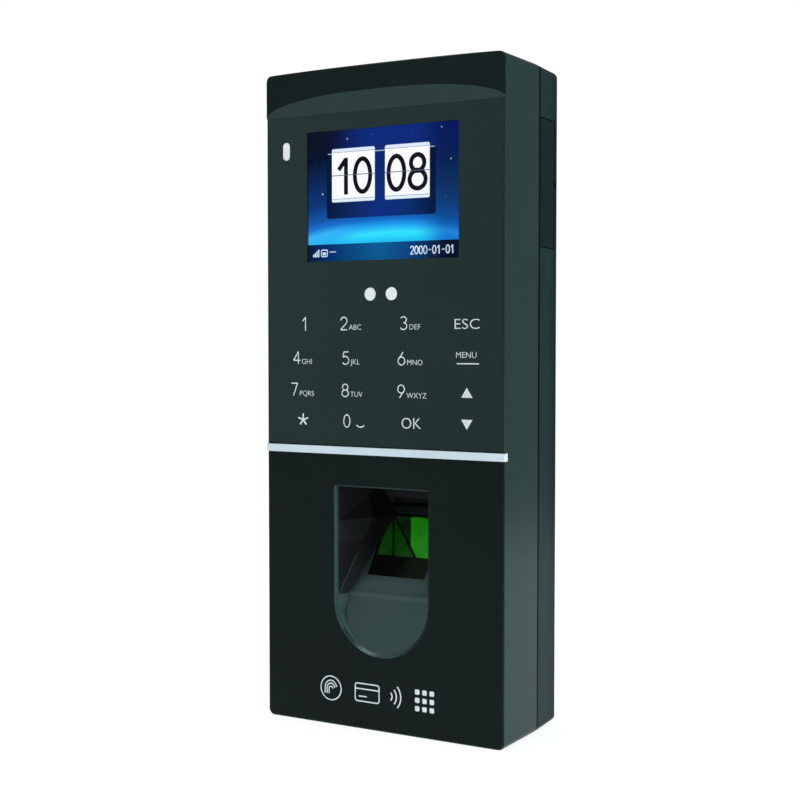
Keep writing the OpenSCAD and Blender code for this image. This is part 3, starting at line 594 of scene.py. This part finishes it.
# Each slot's maker and its settings
SLOT_FINISHES = {
    "shell_plastic": (shell_plastic, SHELL_TONE, 0.26, 0.11),
    "rear_plastic": (rear_plastic, REAR_TONE),
    "door_plastic": (moulded, scaled(REAR_TONE, 0.6), 0.34, 0.02, 0.35, 0.001, TEAL_SHEEN),
    "upper_panel": (panel_lacquer, PANEL_TONE),
    "lower_panel": (moulded, scaled(srgb(24, 33, 32), 0.9), 0.5, 0.04, 0.3, 0.003),
    "guide_plastic": (guide_plastic, srgb(52, 71, 71)),
    "trim_silver": (trim_silver, srgb(218, 236, 248)),
    "clear_window": (clear, (0.99, 0.995, 1, 1), 0.01, 1.12),
    "white_lens": (frosted, srgb(238, 243, 246), 0.3, 0.12),
    "white_plastic": (moulded, srgb(222, 224, 220), 0.45, 0.4),
    "frosted_guide": (frosted, srgb(225, 230, 232)),
    "black_foam": (foam, srgb(38, 38, 40)),
    "display_glass": (polished, srgb(18, 20, 26), 0.08, 0.5, 0.03),
    "ribbon_film": (ribbon_film,),
    "circuit_board": (circuit_board, srgb(20, 74, 40)),
    "copper_trace": (metal, srgb(214, 130, 92), 0.35),
    "sensor_black": (shelf_plastic, srgb(18, 25, 17)),
    "sensor_glass": (clear, (0.8, 1, 0.82, 1), 0.04, 1.49),
    "black_plastic": (moulded, srgb(26, 27, 28), 0.4, 0.4),
    "green_light": (glowing, GREEN_STOPS, 1.0, 1.2),
    "chip_black": (moulded, srgb(30, 30, 32), 0.55, 0.35, 0.15),
    "relay_blue": (moulded, srgb(38, 92, 178), 0.35, 0.5),
    "contact_gold": (metal, srgb(238, 196, 106), 0.22),
    "wire_black": (moulded, srgb(28, 28, 30), 0.5, 0.4),
    "button_orange": (moulded, srgb(222, 98, 30), 0.4, 0.5),
    "zinc_steel": (metal, srgb(176, 182, 186), 0.38, (1, 1, 0.2), 0.8),
    "bright_steel": (metal, srgb(205, 208, 210), 0.22, (0.2, 1, 1)),
    "brass": (metal, srgb(220, 188, 112), 0.28),
}


def make_materials():
    """Every material slot of the record, by name."""
    return {slot: maker(slot, *settings) for slot, (maker, *settings) in SLOT_FINISHES.items()}


# ---- mesh helpers ----


def place_piece(name, mesh, material, body="terminal"):
    """A finished piece in the scene: its material and its body."""
    piece = link(name, mesh)
    piece.data.materials.clear()
    piece.data.materials.append(material)
    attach(piece, body)
    return piece


def settle_shading(piece):
    """Lets broad faces decide the shading, so that flats stay flat."""
    weights = piece.modifiers.new("shading", "WEIGHTED_NORMAL")
    weights.mode = "FACE_AREA"
    weights.weight = 100
    weights.keep_sharp = True


def round_edges(piece, width, angle):
    """Rounds the edges of a piece that turn more than the angle, in degrees; width is in mm."""
    bevel = piece.modifiers.new("edges", "BEVEL")
    bevel.width = width * MM
    bevel.segments = 2
    bevel.limit_method = "ANGLE"
    bevel.angle_limit = math.radians(angle)
    bevel.use_clamp_overlap = False
    bevel.miter_outer = "MITER_ARC"


def refined(node, width=0.15, angle=35):
    """A piece with a CAD node's exact shape, shaded smooth, its edges rounded by width.

    With no width, edges that turn more than the angle stay crisp instead.
    """
    shape = bmesh.new()
    shape.from_mesh(NODES[node].data)
    bmesh.ops.remove_doubles(shape, verts=shape.verts, dist=0.002 * MM)
    mesh = bpy.data.meshes.new(node + "_shape")
    shape.to_mesh(mesh)
    mesh.shade_smooth()
    slot = SLOT_OF_NODE[node]
    piece = place_piece(node + "_shape", mesh, MATERIALS[slot], BODY_OF_NODE[node])
    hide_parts(node)
    if width:
        round_edges(piece, width, angle)
    else:
        mesh.set_sharp_from_angle(angle=math.radians(angle))
    settle_shading(piece)
    return piece


def slab(name, near, far, material):
    """A flat piece between two matching outlines of points."""
    shape = bmesh.new()
    front = [shape.verts.new(point) for point in near]
    back = [shape.verts.new(point) for point in far]
    shape.faces.new(front)
    shape.faces.new(reversed(back))
    for i in range(len(front)):
        j = (i + 1) % len(front)
        shape.faces.new((front[i], back[i], back[j], front[j]))
    bmesh.ops.recalc_face_normals(shape, faces=shape.faces)
    mesh = bpy.data.meshes.new(name)
    shape.to_mesh(mesh)
    return place_piece(name, mesh, material, "terminal")


def plate(name, outline, depths, material):
    """A flat piece with this outline of (x, h) points between two depths, in mm."""
    near, far = ([spot(x, h, depth) for x, h in outline] for depth in depths)
    return slab(name, near, far, material)


def arc(centre, radii, start, end, steps=12):
    """Points on an ellipse's arc, from one angle to another in degrees."""
    points = []
    for i in range(steps + 1):
        angle = math.radians(start + (end - start) * i / steps)
        points.append((centre[0] + radii[0] * math.cos(angle), centre[1] + radii[1] * math.sin(angle)))
    return points


def ring(centre, radii):
    """A closed ellipse."""
    points = arc(centre, radii, 90, 450, 24)
    return points[:-1] + points[:1]


def round_box(low, high, radius, steps=5):
    """The outline of a rectangle with rounded corners."""
    corners = [(high[0], high[1], 0), (low[0], high[1], 90), (low[0], low[1], 180), (high[0], low[1], 270)]
    middle = ((low[0] + high[0]) / 2, (low[1] + high[1]) / 2)
    points = []
    for x, h, start in corners:
        centre = (x - math.copysign(radius, x - middle[0]), h - math.copysign(radius, h - middle[1]))
        points += arc(centre, (radius, radius), start, start + 90, steps)
    return points


def strokes(name, paths, width, depth, material, flatness=0.06):
    """Thin raised lines along paths of (x, h) points in mm, on one depth and pressed flat."""
    curve = bpy.data.curves.new(name, "CURVE")
    curve.dimensions = "3D"
    curve.bevel_depth = width / 2 * MM
    curve.bevel_resolution = 2
    curve.use_fill_caps = True
    for path in paths:
        closed = path[0] == path[-1]
        points = path[:-1] if closed else path
        spline = curve.splines.new("POLY")
        spline.points.add(len(points) - 1)
        spline.use_cyclic_u = closed
        for knot, (x, h) in zip(spline.points, points):
            knot.co = (*spot(x, h, depth), 1)
    drawing = bpy.data.objects.new(name + "_drawing", curve)
    mesh = bpy.data.meshes.new_from_object(drawing)
    bpy.data.objects.remove(drawing)
    bpy.data.curves.remove(curve)
    level = spot(0, 0, depth).y
    for vertex in mesh.vertices:
        vertex.co.y = level + (vertex.co.y - level) * flatness
    mesh.shade_smooth()
    return place_piece(name, mesh, material)


# Height of the font's capitals, as a part of its size
CAP_HEIGHT = 0.729


def lettering(name, text, corner, height, depth, material, stretch=1.0):
    """Generic key lettering: capitals of this height with their lower left corner at corner, in mm."""
    font = bpy.data.curves.new(name, "FONT")
    font.body = text
    font.size = height / CAP_HEIGHT * MM
    font.extrude = 0.015 * MM
    font.offset = -0.013 * height * MM
    font.resolution_u = 4
    drawing = bpy.data.objects.new(name + "_drawing", font)
    mesh = bpy.data.meshes.new_from_object(drawing)
    bpy.data.objects.remove(drawing)
    bpy.data.curves.remove(font)
    upright = Matrix.Rotation(math.radians(90), 4, "X") @ Matrix.Diagonal((stretch, 1, 1, 1))
    mesh.transform(Matrix.Translation(spot(*corner, depth)) @ upright)
    return place_piece(name, mesh, material)


# Digits as strokes, one unit tall and 0.6 wide
DIGIT_STROKES = {
    "0": [ring((0.3, 0.5), (0.29, 0.5))],
    "1": [[(0.36, -0.06), (0.36, 1.06)], [(0.36, 1.02), (0.08, 0.7)]],
    "2": [arc((0.3, 0.7), (0.28, 0.3), 170, -35) + [(0.02, 0.02)], [(0.02, 0), (0.6, 0)]],
    "3": [arc((0.28, 0.76), (0.25, 0.24), 150, -90), arc((0.28, 0.27), (0.29, 0.27), 90, -155)],
    "4": [[(0.45, 0), (0.45, 1)], [(0.45, 1), (0.0, 0.3)], [(0.0, 0.3), (0.62, 0.3)]],
    "5": [[(0.55, 1), (0.12, 1)], [(0.12, 1), (0.07, 0.56)], arc((0.28, 0.32), (0.3, 0.32), 125, -150)],
    "6": [ring((0.3, 0.31), (0.29, 0.31)), [(0.44, 1), (0.07, 0.46)]],
    "7": [[(0.0, 1), (0.58, 1)], [(0.58, 1), (0.2, 0)]],
    "8": [ring((0.3, 0.76), (0.24, 0.24)), ring((0.3, 0.27), (0.29, 0.27))],
    "9": [ring((0.3, 0.69), (0.29, 0.31)), [(0.53, 0.54), (0.16, 0)]],
    "-": [[(0.12, 0.5), (0.48, 0.5)]],
}


def digit_paths(text, corner, height, pitch, stretch=1.0):
    """The strokes of a row of digits, height mm tall and pitch mm apart, from their lower left corner."""
    paths = []
    for place, digit in enumerate(text):
        left = corner[0] + place * pitch
        for path in DIGIT_STROKES[digit]:
            paths.append([(left + x * height * stretch, corner[1] + y * height) for x, y in path])
    return paths


# ---- screen ----

SCREEN_MIDDLE = height_of((window_low.z + window_high.z) / 2)
SCREEN_HALF = (window_high.x / MM, (window_high.z - window_low.z) / 2 / MM)
PANE = (0.05, 0.55)
PICTURE_DEPTH = 0.62
HORIZON_RADIUS = 132.0
HORIZON_TOP = (3.0, -10.4)
BAR_TOP = -13.1
PICTURE_SHIFT = (0.57, -0.25)
PICTURE_PLAY = 0.02


def on_screen(x, up):
    """A point of the picture: x across and up above the picture's centre."""
    return (x + PICTURE_SHIFT[0], SCREEN_MIDDLE + up + PICTURE_SHIFT[1])


# The sky's colours, each at its height in mm above the lit horizon
SKY_STOPS = {
    "middle": [
        (-2.6, (28, 185, 238)), (-1.2, (40, 214, 253)), (0, (54, 227, 255)), (1.7, (37, 170, 246)),
        (3.7, (20, 107, 198)), (6.5, (15, 68, 145)), (14, (12, 40, 112)), (28, (14, 43, 124)),
    ],
    "left": [
        (-1, (42, 175, 240)), (2, (56, 184, 251)), (4, (28, 113, 208)), (6, (18, 85, 168)),
        (10, (13, 56, 121)), (18, (11, 36, 82)), (23, (7, 20, 48)), (28, (12, 17, 38)),
    ],
    "right": [
        (-1, (24, 118, 210)), (0.7, (34, 135, 218)), (2.7, (18, 94, 178)), (4.7, (15, 75, 148)),
        (8.7, (14, 59, 117)), (13, (14, 49, 98)), (20, (8, 33, 82)), (28, (9, 24, 92)),
    ],
}


def sky_material():
    """Night sky over a lit horizon, dimmer towards the left and right."""
    finish = lit("screen_sky", 0.4, 0.03)
    centre = spot(*on_screen(HORIZON_TOP[0], HORIZON_TOP[1] - HORIZON_RADIUS), 0)
    offset = finish.add("VectorMath", {0: finish.coords, 1: centre}, operation="SUBTRACT").outputs[0]
    flat = finish.add("VectorMath", {0: offset, 1: (1 / MM, 0, 1 / MM)}, operation="MULTIPLY").outputs[0]
    reach = finish.add("VectorMath", {0: flat}, operation="LENGTH").outputs["Value"]
    above = finish.math("SUBTRACT", reach, HORIZON_RADIUS)
    low, high = -3.0, 29.0
    level = finish.along(above, low, high)
    shades = {}
    for side, stops in SKY_STOPS.items():
        spaced = [((up - low) / (high - low), srgb(*colour)) for up, colour in stops]
        shades[side] = finish.ramp(level, spaced)
    across = finish.add("SeparateXYZ", {0: flat}).outputs["X"]
    sky = finish.mix(finish.along(across, -7, -22, smooth=True), shades["middle"], shades["left"])
    sky = finish.mix(finish.along(across, 6, 17, smooth=True), sky, shades["right"])
    finish.set("Emission Color", sky)
    finish.set("Emission Strength", 1)
    return finish.material


def swept(name, low, high, lift, stops):
    """A lit face coloured across by (x, colour) stops, made brighter by lift towards its lower edge."""
    finish = lit(name, 0.4, 0.03)
    x, h, _ = finish.places()
    first, last = stops[0][0], stops[-1][0]
    spaced = [((place - first) / (last - first), srgb(*colour)) for place, colour in stops]
    finish.set("Emission Color", finish.ramp(finish.along(x, first, last), spaced))
    lower = finish.along(h, high, low)
    finish.set("Emission Strength", finish.spread(lower, 1.0, lift))
    return finish.material


def paper(name, bottom, top):
    """A lit card leaf that runs from one colour at its foot to another at its head."""
    finish = lit(name, 0.4, 0.1)
    _, h, _ = finish.places()
    factor = finish.along(h, SCREEN_MIDDLE - 2, SCREEN_MIDDLE + 13)
    finish.set("Emission Color", finish.ramp(factor, [(0, srgb(*bottom)), (1, srgb(*top))]))
    finish.set("Emission Strength", 1)
    return finish.material


CARD_SIZE = (14.0, 14.8)
CARD_LEFT = (-16.75, 0.52)
CARD_BOTTOM = -1.5
SPLIT = 5.9
LAYER = 0.03

# Each star's place on the screen and its size
STARS = (
    (-11.7, 15.9, 0.32), (18.2, 17.0, 0.26), (21.0, 8.4, 0.26), (-19.9, 1.0, 0.32),
    (-3.5, 16.6, 0.1), (8.8, 16.2, 0.1), (-22.3, 9.0, 0.1), (19.4, -1.4, 0.1),
)

# Colours across the screen, each at its x in mm: the panel behind the clock, and the status bar
PANEL_STOPS = [
    (-18, (6, 20, 46)), (-9, (10, 32, 82)), (-1, (11, 38, 108)), (8, (8, 38, 96)), (16, (4, 21, 56)),
]
BAR_STOPS = [
    (-24, (6, 26, 60)), (-17, (7, 50, 112)), (-1, (12, 93, 148)), (8, (13, 70, 132)),
    (15, (10, 40, 82)), (20, (8, 18, 44)), (24, (8, 18, 38)),
]


def layer(number):
    """The two depths of the picture's layer, counted from the sky towards the user."""
    front = PICTURE_DEPTH - number * LAYER / 2
    return (front - LAYER / 4, front)


def screen_plate(name, outline, number, material):
    """A flat shape in the picture, its outline in screen places."""
    return plate(name, [on_screen(x, up) for x, up in outline], layer(number), material)


def make_card(side, left, text, first, pitch):
    """One flip card of the clock: two leaves, their edge bands and two digits."""
    low, high = (left, CARD_BOTTOM), (left + CARD_SIZE[0], CARD_BOTTOM + CARD_SIZE[1])
    screen_plate(f"clock_{side}_stack", round_box(low, high, 0.45), 2, SCREEN["leaf_edge"])
    inner = round_box((low[0] + 0.1, low[1] + 0.85), (high[0] - 0.1, high[1] - 0.95), 0.2)
    screen_plate(f"clock_{side}_leaf", inner, 3, SCREEN["leaf"])
    lines = [[(low[0] + 0.2, up), (high[0] - 0.2, up)] for up in (low[1] + 0.9, high[1] - 1.0)]
    screen_strokes(f"clock_{side}_folds", lines, 0.12, 4, SCREEN["fold"])
    digits = digit_paths(text, (first, 1.05), 9.1, pitch, 0.947)
    screen_strokes(f"clock_{side}_digits", digits, 1.3, 5, SCREEN["ink"])
    split = [[(low[0] + 0.05, SPLIT), (high[0] - 0.05, SPLIT)]]
    screen_strokes(f"clock_{side}_split", split, 0.22, 6, SCREEN["fold"])


def screen_strokes(name, paths, width, number, material):
    """Lines in the picture, their paths in screen places."""
    placed = [[on_screen(x, up) for x, up in path] for path in paths]
    return strokes(name, placed, width, layer(number)[1], material, 0.01)


def screen_materials():
    """The materials of the lit picture, by what they show."""
    return {
        "leaf": paper("clock_leaf", (250, 252, 255), (255, 255, 255)),
        "leaf_edge": paper("clock_leaf_edge", (226, 240, 252), (222, 236, 255)),
        "fold": glowing("clock_fold", [(0.3, srgb(52, 68, 92)), (0.7, srgb(84, 102, 126))], 4),
        "ink": glowing("clock_ink", [(0.3, srgb(6, 8, 16)), (0.7, srgb(12, 14, 24))], 4),
        "panel": swept("clock_panel", SCREEN_MIDDLE - 6, SCREEN_MIDDLE + 12, 1.5, PANEL_STOPS),
        "bar": swept("status_bar", SCREEN_MIDDLE - 18, SCREEN_MIDDLE - 13, 0.9, BAR_STOPS),
        "star": glowing("star_white", [(0.3, srgb(170, 200, 235)), (0.7, srgb(235, 245, 255))], 4),
        "axle": glowing("clock_axle", [(0.3, srgb(120, 160, 215)), (0.7, srgb(190, 215, 240))], 2),
        "sky": sky_material(),
    }


def box_outline(half_x, low, high):
    """The outline of a rectangle as wide on both sides of the middle."""
    return [(-half_x, low), (half_x, low), (half_x, high), (-half_x, high)]


def make_screen():
    """The lit picture behind the display window: sky, flip clock, stars and status bar."""
    half_x, half_up = SCREEN_HALF
    pane = box_outline(half_x, SCREEN_MIDDLE - half_up, SCREEN_MIDDLE + half_up)
    glass = plate("display_pane", pane, PANE, MATERIALS["clear_window"])
    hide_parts("display_window")
    half_x, half_up = half_x - PICTURE_PLAY, half_up - PICTURE_PLAY
    low, high = SCREEN_MIDDLE - half_up, SCREEN_MIDDLE + half_up
    plate("screen_sky", box_outline(half_x, low, high), layer(0), SCREEN["sky"])
    bar_top = on_screen(0, BAR_TOP)[1]
    plate("status_bar", box_outline(half_x, low, bar_top), layer(1), SCREEN["bar"])
    screen_plate("clock_panel", round_box((-18.5, -6.0), (16.4, 12.0), 0.6), 1, SCREEN["panel"])
    screen_strokes("clock_axle", [[(-18.1, 12.0), (16.1, 12.0)]], 0.24, 2, SCREEN["axle"])
    make_card("hours", CARD_LEFT[0], "10", -15.2, 5.92)
    make_card("minutes", CARD_LEFT[1], "08", 1.565, 6.65)
    for number, (x, up, size) in enumerate(STARS):
        screen_plate(f"star_{number}", star_outline((x, up), size), 1, SCREEN["star"])
    make_status_text()


def star_outline(centre, size):
    """A four-pointed sparkle."""
    points = []
    for i in range(8):
        reach = size if i % 2 else size / 2.4
        turn = math.radians(45 * i)
        points.append((centre[0] + reach * math.cos(turn), centre[1] + reach * math.sin(turn)))
    return points


def make_status_text():
    """Small signs in the status bar: signal bars, a battery and a dash on the left, a date on the right."""
    base = -16.6
    for i in range(4):
        left = -23.15 + i * 0.57
        box = round_box((left, base), (left + 0.42, base + 0.8 + i * 0.45), 0.1, 2)
        screen_plate(f"status_signal_{i}", box, 2, SCREEN["star"])
    battery = round_box((-20.35, base + 0.15), (-18.35, base + 1.95), 0.3, 3)
    screen_strokes("status_battery", [battery + battery[:1]], 0.3, 2, SCREEN["star"])
    charge = round_box((-19.95, base + 0.5), (-18.75, base + 1.3), 0.1, 2)
    screen_plate("status_charge", charge, 2, SCREEN["star"])
    screen_strokes("status_dash", [[(-17.6, base + 1.35), (-15.5, base + 1.35)]], 0.24, 2, SCREEN["star"])
    date = digit_paths("2000-01-01", (8.5, base), 2.1, 1.38, 0.85)
    screen_strokes("status_date", date, 0.34, 2, SCREEN["star"])


# ---- key legends ----

KEY_HEIGHTS = (112.95, 103.3, 94.3, 85.75)
DIGIT_HEIGHT = 3.5
LETTER_HEIGHT = 1.55
LEGEND_DEPTH = -0.012
SIGN_HEIGHT = 9.8

# Digit, letters and left edge of each key, row by row
KEY_ROWS = (
    (("1", "", -26.2), ("2", "ABC", -13.1), ("3", "DEF", 6.2)),
    (("4", "GHI", -29.0), ("5", "JKL", -12.5), ("6", "MNO", 5.5)),
    (("7", "PQRS", -29.8), ("8", "TUV", -12.7), ("9", "WXYZ", 5.4)),
)


def make_digit_key(digit, letters, left, height):
    """A digit key's legend: the digit, with its letters at its lower right."""
    base = height - DIGIT_HEIGHT / 2
    paths = digit_paths(digit, (left, base), DIGIT_HEIGHT, 0, 1.05)
    strokes(f"key_{digit}", paths, 0.33, LEGEND_DEPTH, INK)
    if letters:
        corner = (left + 2.75, base)
        lettering(f"key_{digit}_letters", letters, corner, LETTER_HEIGHT, LEGEND_DEPTH, INK)


def make_legends():
    """The printed legends of the touch keys."""
    for height, row in zip(KEY_HEIGHTS, KEY_ROWS):
        for digit, letters, left in row:
            make_digit_key(digit, letters, left, height)
    middle = (-25.75, KEY_HEIGHTS[3])
    tips = arc(middle, (1.75, 1.75), 90, 378, 4)
    strokes("key_star", [[middle, tip] for tip in tips], 0.5, LEGEND_DEPTH, INK)
    strokes("key_0", digit_paths("0", (-12.1, 84.0), DIGIT_HEIGHT, 0, 1.0), 0.33, LEGEND_DEPTH, INK)
    strokes("key_0_space", [arc((-6.6, 84.9), (1.25, 0.75), 190, 350)], 0.34, LEGEND_DEPTH, INK)
    lettering("key_ok", "OK", (6.4, 84.2), 3.15, LEGEND_DEPTH, INK)
    lettering("key_escape", "ESC", (22.6, 111.3), 2.85, LEGEND_DEPTH, INK, stretch=1.25)
    lettering("key_menu", "MENU", (23.3, 103.6), 1.7, LEGEND_DEPTH, INK)
    strokes("key_menu_line", [[(23.7, 102.05), (30.4, 102.05)]], 0.34, LEGEND_DEPTH, INK)
    depths = (LEGEND_DEPTH - 0.012, 0.01)
    plate("key_up", [(25.05, 93.0), (28.45, 93.0), (26.75, 95.7)], depths, INK)
    plate("key_down", [(25.05, 87.15), (26.75, 84.45), (28.45, 87.15)], depths, INK)


def legend_material():
    """Screen-printed white ink with slightly uneven cover."""
    finish = Finish("legend_ink", {"Specular IOR Level": 0.2})
    cover = finish.noise(0.5, 4)
    finish.set("Base Color", finish.ramp(cover, [(0.25, srgb(196, 205, 211)), (0.6, srgb(232, 240, 245))]))
    finish.set("Roughness", finish.spread(finish.noise(0.8, 3), 0.5, 0.65))
    finish.set("Normal", finish.bump(cover, 0.004))
    return finish.material


def make_signs():
    """Generic signs of what the terminal reads, printed under the finger well."""
    h = SIGN_HEIGHT
    finger = [ring((-16.5, h), (3.4, 3.4))]
    for reach in (0.7, 1.4, 2.1):
        ridge = arc((-16.5, h - 0.4), (reach, reach * 1.25), 20, 160, 8)
        finger.append(ridge + [(-16.5 - reach * 0.94, h - 1.6)])
    strokes("sign_finger", finger, 0.34, LEGEND_DEPTH, INK)
    card = round_box((-8.4, h - 2.5), (-0.6, h + 2.5), 0.7)
    bands = [[(-8.2, h + 1.0), (-0.8, h + 1.0)], [(-7.2, h - 1.1), (-4.6, h - 1.1)]]
    strokes("sign_card", [card + card[:1]] + bands, 0.36, LEGEND_DEPTH, INK)
    waves = [arc((2.0, h), (r, r), -42, 42, 8) for r in (1.6, 3.0, 4.4)]
    strokes("sign_waves", waves, 0.42, LEGEND_DEPTH, INK)
    for i in range(9):
        column, row = i % 3, i // 3
        middle = (11.6 + column * 2.3, h - 2.3 + row * 2.3)
        key = round_box((middle[0] - 0.7, middle[1] - 0.7), (middle[0] + 0.7, middle[1] + 0.7), 0.3, 3)
        plate(f"sign_key_{i}", key, (LEGEND_DEPTH - 0.01, 0.01), INK)


# ---- finger sensor ----

RAMP_ANGLE = math.radians(53.7)


def up_ramp(x, s, n):
    """The point x across, s up the sensor's ramp from its crest and n out of it, in mm."""
    h = CREST[0] + s * math.sin(RAMP_ANGLE) + n * math.cos(RAMP_ANGLE)
    d = CREST[1] + s * math.cos(RAMP_ANGLE) - n * math.sin(RAMP_ANGLE)
    return spot(x, h, d)


def ramp_slab(name, outline, levels, material):
    """A flat piece on the ramp with this outline of (x, s) points, from its lower level to its upper one."""
    under, top = ([up_ramp(x, s, level) for x, s in outline] for level in levels)
    return slab(name, top, under, material)


def make_sensor():
    """The optical sensor: a glass face over a lit window, its dim prism faces and their ribs."""
    dim = glowing("prism_dim", [(0.3, srgb(4, 36, 2)), (0.7, srgb(8, 56, 4))], 6)
    dark = glowing("prism_shadow", [(0.3, srgb(6, 20, 8)), (0.7, srgb(12, 34, 14))], 5)
    bright = glowing("prism_lit", [(0.3, srgb(24, 104, 12)), (0.7, srgb(32, 124, 20))], 5)
    edge = MATERIALS["sensor_black"]
    face = round_box((-8.65, 13.45), (8.65, 26.35), 0.3)
    glass = ramp_slab("sensor_face", face, (-0.75, -0.15), MATERIALS["sensor_glass"])
    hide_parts("sensor_prism")
    ramp_slab("prism_body", round_box((-8.65, 13.5), (8.65, 26.3), 0.3), (-2.2, -1.0), dark)
    ramp_slab("prism_left_face", [(-8.6, 13.6), (3.5, 13.6), (-7.3, 25.7), (-8.6, 25.7)], (-1.0, -0.95), dim)
    right = [(4.0, 13.6), (8.6, 13.6), (8.6, 26.25), (-1.9, 26.25), (1.2, 17.0), (3.2, 14.7)]
    ramp_slab("prism_right_face", right, (-1.0, -0.9), bright)
    ramp_slab("prism_edge", [(3.4, 13.55), (4.3, 13.55), (-6.8, 26.1), (-7.5, 26.1)], (-1.0, -0.85), edge)
    ramp_slab("prism_rib", [(-3.75, 13.55), (-3.1, 13.55), (-7.2, 25.6), (-7.7, 25.6)], (-1.0, -0.85), edge)


# ---- assembly ----

# CAD nodes whose edges stay crisp, with the largest turn in degrees that is shaded smooth
CRISP_NODES = {
    "front_shell": 14, "rear_shell": 14, "upper_panel": 30, "lower_panel": 30, "finger_guide": 30,
    "trim_strip": 30, "wall_plate": 12,
}

# CAD nodes whose edges are rounded, with the width in mm
ROUNDED_NODES = {
    "status_light_pipe": 0.08, "indicator_lenses": 0.15, "sensor_bezel": 0.1,
    "port_door": 0.12, "network_socket": 0.15, "wiring_sockets": 0.12,
    "usb_socket": 0.08, "usb_tongue": 0.08, "case_screws": 0.1, "security_screw": 0.12,
    "tamper_plunger": 0.15, "reset_button": 0.15,
}


def finish_nodes():
    """Gives every CAD node the procedural material of its slot."""
    for node, piece in NODES.items():
        piece.data.materials.clear()
        piece.data.materials.append(MATERIALS[SLOT_OF_NODE[node]])


make_camera()
make_floor()
make_backdrop()
make_lights()
make_room()
MATERIALS = make_materials()
SCREEN = screen_materials()
INK = legend_material()
finish_nodes()
for node, angle in CRISP_NODES.items():
    refined(node, None, angle)
for node, width in ROUNDED_NODES.items():
    refined(node, width)
make_screen()
make_legends()
make_signs()
make_sensor()
